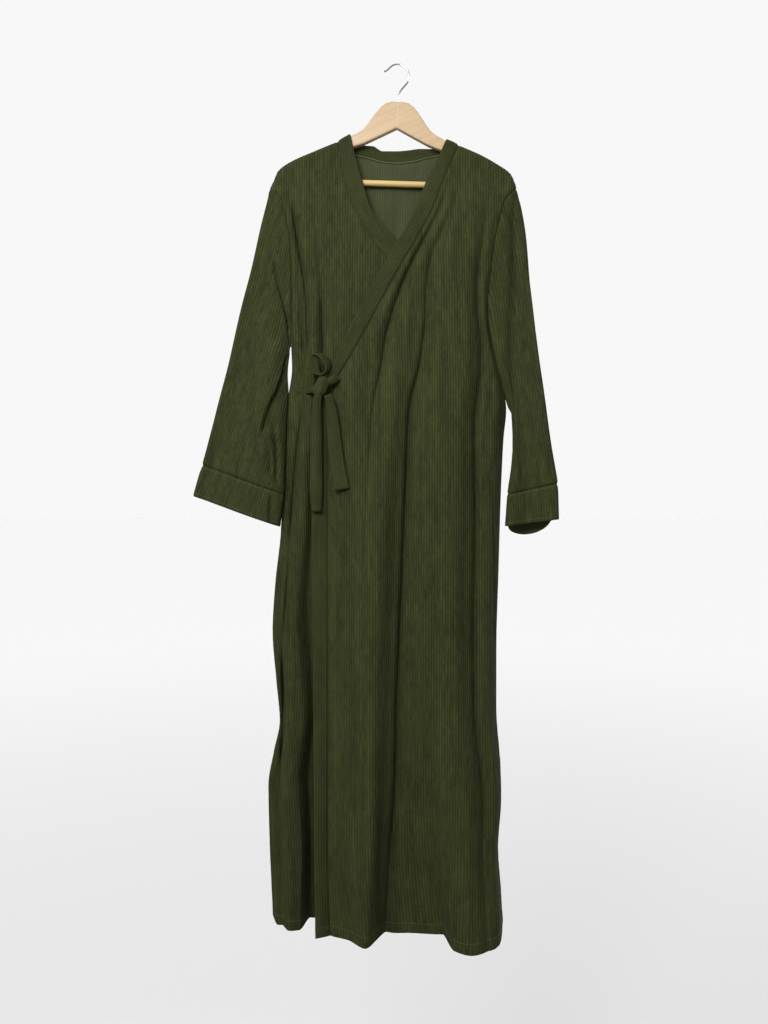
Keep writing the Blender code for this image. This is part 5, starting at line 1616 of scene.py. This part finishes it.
@dataclass
class Tie:
    """The half bow at the waist: knot, loop, two tails and the straps that pull into it."""

    outside: Material
    centre: Triple = (-0.1385, -0.0410, -0.6115)
    size: Triple = (0.027, 0.021, 0.040)
    lean: float = math.radians(27)
    loop_centre: Triple = (-0.1400, -0.0410, -0.5710)
    loop_radii: Pair = (0.0128, 0.0195)
    loop_lean: float = math.radians(14)
    loop_half: Triple = (0.0064, 0.0088, 0.0030)
    loop_face: Triple = (0.0088, 0.0034, -0.0010)
    loop_cut: Pair = (0.0155, 0.104)
    loop_bulge: Triple = (0.10, 3, 0.6)
    loop_turn: float = 0.62
    loop_gather: Triple = (0.62, 0.5, 0.15)
    loop_round: float = 0.0016
    loop_sway: float = 0.002
    knot_square: float = 0.86
    knot_waist: Triple = (0.10, 0.15, 0.35)
    pleats: Triple = (7.5, 1.3, 0.5)
    pleat_height: float = 0.055
    loop_points: Pair = (97, 17)
    knot_points: Pair = (88, 50)
    ribbons: tuple[Ribbon, ...] = (
        Ribbon("tie_tail_right",
               milli(((-144, -43.5, -627), (-146.5, -40.5, -650), (-148, -38.5, -700), (-148.2, -37.4, -760),
                      (-147.8, -37.2, -815), (-147.5, -37.2, -840))),
               milli((14, 19, 21, 22, 22.5, 18)), (0, 6, -4, 4, 0, 0), milli((5, 6, 6, 6, 5, 3))),
        Ribbon("tie_tail_left",
               milli(((-126.5, -43.5, -626.5), (-120, -41, -650), (-115, -39.8, -700), (-109, -40.5, -755),
                      (-101, -40.8, -800))),
               milli((14, 21, 25, 27, 28)), (0, -10, 5, 0, 0), milli((4, 4, 2, 1, 0))),
        Ribbon("tie_strap_front",
               milli(((-126, -41, -604.5), (-119.5, -39.2, -600), (-113, -35, -595.5),
                      (-108.5, -31.2, -592))),
               milli((11, 15, 12)), (0, 0, 0), milli((4, 3, 0))),
        Ribbon("tie_strap_side",
               milli(((-151.5, -39, -615.5), (-164, -27.2, -616.5), (-176, -14.2, -615.5),
                      (-188, -9.4, -612), (-196.5, -3.6, -609.5))),
               milli((12, 10, 9)), (0, 0, 0), milli((2, 0, 0))),
    )

    def build(self) -> None:
        """Make the ribbons, the loop and the knot."""
        for ribbon in self.ribbons:
            surface = ribbon.surface()
            self.declare(ribbon.name, surface)
        self.declare("tie_loop", self.loop_surface())
        self.knot()

    def declare(self, name: str, surface: Surface) -> None:
        made = Cloth(name, surface, BAND_CLOTH, rib=0.0003, seams=()).build(self.outside, self.outside)
        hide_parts(name)

    def loop_surface(self) -> Surface:
        """The loop's strap, a row for each point round it and a column across it."""
        rows, columns = self.loop_points
        angles = np.linspace(0, 2 * math.pi, rows)
        height, waves, start = self.loop_bulge
        bulge = 1 + height * np.cos(waves * angles + start)
        x, z = self.loop_radii[0] * np.sin(angles) * bulge, self.loop_radii[1] * np.cos(angles)
        x, z = leaned(x, z, -self.loop_lean)
        ring = np.stack([x, self.loop_sway * np.sin(angles), z], axis=-1) + self.loop_centre
        facing = eased(0.5 - self.loop_turn * np.sin(angles))
        narrow, sway, start = self.loop_gather
        gathered = narrow + (1 - narrow) * eased(sway + sway * np.cos(angles) + start)
        gathered = gathered + (1 - gathered) * facing
        half = np.outer(1 - facing, self.loop_half) + np.outer(facing, self.loop_face)
        t = np.sin(np.linspace(-math.pi / 2, math.pi / 2, columns))
        grid = ring[:, None] + half[:, None, :] * (gathered[:, None] * t)[..., None]
        across = (np.linalg.norm(half, axis=1) * gathered)[:, None] * t
        thin = rounded(np.abs(across[:, -1:]) - np.abs(across), self.loop_round, 0.06)
        return Surface(grid, across, rows_like(lengths(ring), across), 1, thin=thin, looped=True)

    def knot(self) -> None:
        """The knot: the strap pulled over a firm lump, its pleats running down to the wearer's right."""
        around, over = self.knot_points
        turn, tilt = np.meshgrid(np.linspace(0, 2 * math.pi, around, endpoint=False),
                                 np.linspace(0.0, math.pi, over)[1:-1])
        way = np.stack([np.cos(turn) * np.sin(tilt), np.sin(turn) * np.sin(tilt), np.cos(tilt)], axis=-1)
        way = np.sign(way) * np.abs(way) ** self.knot_square
        pleat = np.sin(self.pleats[0] * way[..., 0] + self.pleats[1] * way[..., 2] + self.pleats[2])
        depth, level, reach = self.knot_waist
        waist = 1 - depth * np.exp(-((way[..., 2] - level) / reach) ** 2)
        swell = (1 + self.pleat_height * pleat * (1 - np.abs(way[..., 2]) ** 3)) * waist
        local = way * np.asarray(self.size) / 2 * swell[..., None]
        local = np.concatenate([local.reshape(-1, 3), [[0, 0, self.size[2] / 2], [0, 0, -self.size[2] / 2]]])
        x, z = leaned(local[:, 0], local[:, 2], self.lean)
        turned = np.stack([x, local[:, 1], z], axis=-1) + self.centre
        top, bottom, last = len(local) - 2, len(local) - 1, (over - 3) * around
        ring = [(spot, (spot + 1) % around) for spot in range(around)]
        faces = [(row + a, row + around + a, row + around + b, row + b)
                 for row in range(0, last, around) for a, b in ring]
        faces += [(top, a, b) for a, b in ring]
        faces += [(bottom, last + b, last + a) for a, b in ring]
        made = mesh_object("tie_knot_cloth", turned, faces, (self.outside,), [0] * len(faces),
                           local[:, [0, 2]])
        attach(made, "root")
        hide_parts("tie_knot")
        log.info("tie_knot: %d faces", len(made.data.polygons))


def leaned(x: Array, z: Array, angle: float) -> tuple[Array, Array]:
    """X and Z turned about the Y axis, to the right at the top."""
    cos, sin = math.cos(angle), math.sin(angle)
    return x * cos + z * sin, z * cos - x * sin


@dataclass
class Hanger:
    """The wooden hanger: its arms, its bar and its hook keep their solids."""

    wood: Material
    bar: Material
    steel: Material

    def build(self) -> None:
        """Give each solid its finish."""
        for name, look in (("hanger_arm_left", self.wood), ("hanger_arm_right", self.wood),
                           ("hanger_bar", self.bar), ("hanger_hook", self.steel)):
            for slot in bpy.data.objects[name].material_slots:
                slot.material = look
            log.info("%s: %s", name, look.name)


@dataclass(frozen=True)
class Studio:
    """A plain pale floor, soft light and the camera at the photograph's angle."""

    floor_level: float = -3.2
    floor_reach: float = 300.0
    tone: Triple = (0.93, 0.93, 0.93)
    # painted shade: the floor's colour near the garment, and the reach over which it fades out
    painted_shade_tone: Triple = (0.712, 0.712, 0.716)
    painted_shade_reach: Pair = (3.6, 14.0)
    bounce: Triple = (0.36, 0.36, 0.36)
    world_tone: Triple = (0.935, 0.935, 0.935)
    ambient: float = 0.32
    middle: Triple = (0.0, 0.0, -0.45)
    key_place: Triple = (-0.66, -1.84, 0.26)
    key_power: float = 50.0
    key_size: float = 0.9
    suns: tuple[tuple[str, Triple, float, float], ...] = (
        ("sun", (0.62, 0.60, -0.55), 0.8, 22), ("ceiling", (0.0, 0.0, -1.0), 0.87, 50),
        ("behind", (-0.58, -0.76, -0.30), 3.0, 25))

    def build(self) -> None:
        """Make the floor, the lights, the world and the camera."""
        self.floor()
        self.world()
        self.key()
        for name, way, power, angle in self.suns:
            self.sun(name, way, power, angle)
        camera = bpy.data.cameras.new("camera")
        camera.sensor_fit = "VERTICAL"
        camera.sensor_height = 36.0
        camera.lens = FOCAL
        holder = placed("camera", camera)
        holder.location = CAMERA_PLACE
        holder.rotation_euler = (math.pi / 2, 0.0, 0.0)
        bpy.context.scene.camera = holder

    def floor(self) -> None:
        """Make the floor: pale to the camera, darkened near the garment with painted shade, and duller to
        bounced light.
        """
        mesh = bpy.data.meshes.new("floor")
        corners = [(x * self.floor_reach, y * self.floor_reach, self.floor_level)
                   for x, y in ((-1, -1), (1, -1), (1, 1), (-1, 1))]
        mesh.from_pydata(corners, [], [(0, 1, 2, 3)])
        look, wiring, shader = new_look("pale_floor", {"Roughness": 1.0, "Specular IOR Level": 0.0})
        away = wiring.node("ShaderNodeVectorMath", {0: wiring.own_place()}, operation="LENGTH").outputs
        # painted shade: the colour seen darkens towards the garment inside the given reach
        near = wiring.spread(away["Value"], self.painted_shade_reach, (1, 0))
        seen = wiring.mix(wiring.times(near, near), opaque(self.tone), opaque(self.painted_shade_tone))
        wiring.feed(shader, {"Base Color": wiring.mix(wiring.camera_ray(), opaque(self.bounce), seen)})
        mesh.materials.append(look)
        placed("floor", mesh)

    def world(self) -> None:
        """Make the pale surround, which lights the garment less than it shows."""
        world = bpy.data.worlds.new("pale_world")
        world.use_nodes = True
        wiring = Wiring(world.node_tree)
        strength = wiring.spread(wiring.camera_ray(), (0, 1), (self.ambient, 1.0))
        wiring.feed(world.node_tree.nodes["Background"],
                    {"Color": opaque(self.world_tone), "Strength": strength})
        bpy.context.scene.world = world
        bpy.context.scene.view_settings.view_transform = "Standard"

    @staticmethod
    def sun(name: str, way: Triple, power: float, angle: float) -> None:
        """Add one distant lamp.

        Args:
            name: its name.
            way: where it shines.
            power: its strength.
            angle: how wide it is seen, in degrees, which softens its shadows.
        """
        light = bpy.data.lights.new(name, "SUN")
        light.energy, light.angle = power, math.radians(angle)
        placed(name, light).rotation_euler = Vector(way).to_track_quat("-Z", "Y").to_euler()

    def key(self) -> None:
        """Add the soft lamp that faces the garment's middle."""
        light = bpy.data.lights.new("key", "AREA")
        light.energy, light.size = self.key_power, self.key_size
        holder = placed("key", light)
        holder.location = self.key_place
        way = Vector(self.middle) - Vector(self.key_place)
        holder.rotation_euler = way.to_track_quat("-Z", "Y").to_euler()


def main() -> None:
    """Build the pieces in order."""
    logging.basicConfig(level=logging.INFO)
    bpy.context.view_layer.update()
    groups = NodeGroups()
    # each corduroy's second colour is painted shade in the hollows between its ribs
    outside = Corduroy().build(groups)
    inside = Corduroy("corduroy_inside", (0.053, 0.058, 0.027), (0.034, 0.038, 0.016), 0.10, 0.08, 0.95,
                      0.25).build(groups)
    Studio().build()
    band = Corduroy("corduroy_band", (0.0318, 0.0366, 0.0122), (0.0225, 0.0260, 0.0078), 0.16,
                    0.24).build(groups)
    garment = Garment(outside, inside, band)
    garment.build()
    neck_thread = Thread("pale_olive_thread", (0.160, 0.175, 0.098), (0.105, 0.116, 0.062)).build()
    garment.stitch(Stitching(Thread().build()), Stitching(neck_thread, 0.0008))
    Tie(band).build()
    wood = Wood("pale_wood_arms", (0.462, 0.335, 0.196), (0.387, 0.263, 0.138), ARM_TILT).build(groups)
    bar = Wood("pale_wood_bar", (0.55, 0.40, 0.155), (0.47, 0.32, 0.11), HANGER_TILT).build(groups)
    Hanger(wood, bar, PlatedWire().build()).build()
    log.info("boxes kept")


if __name__ == "__main__":
    main()
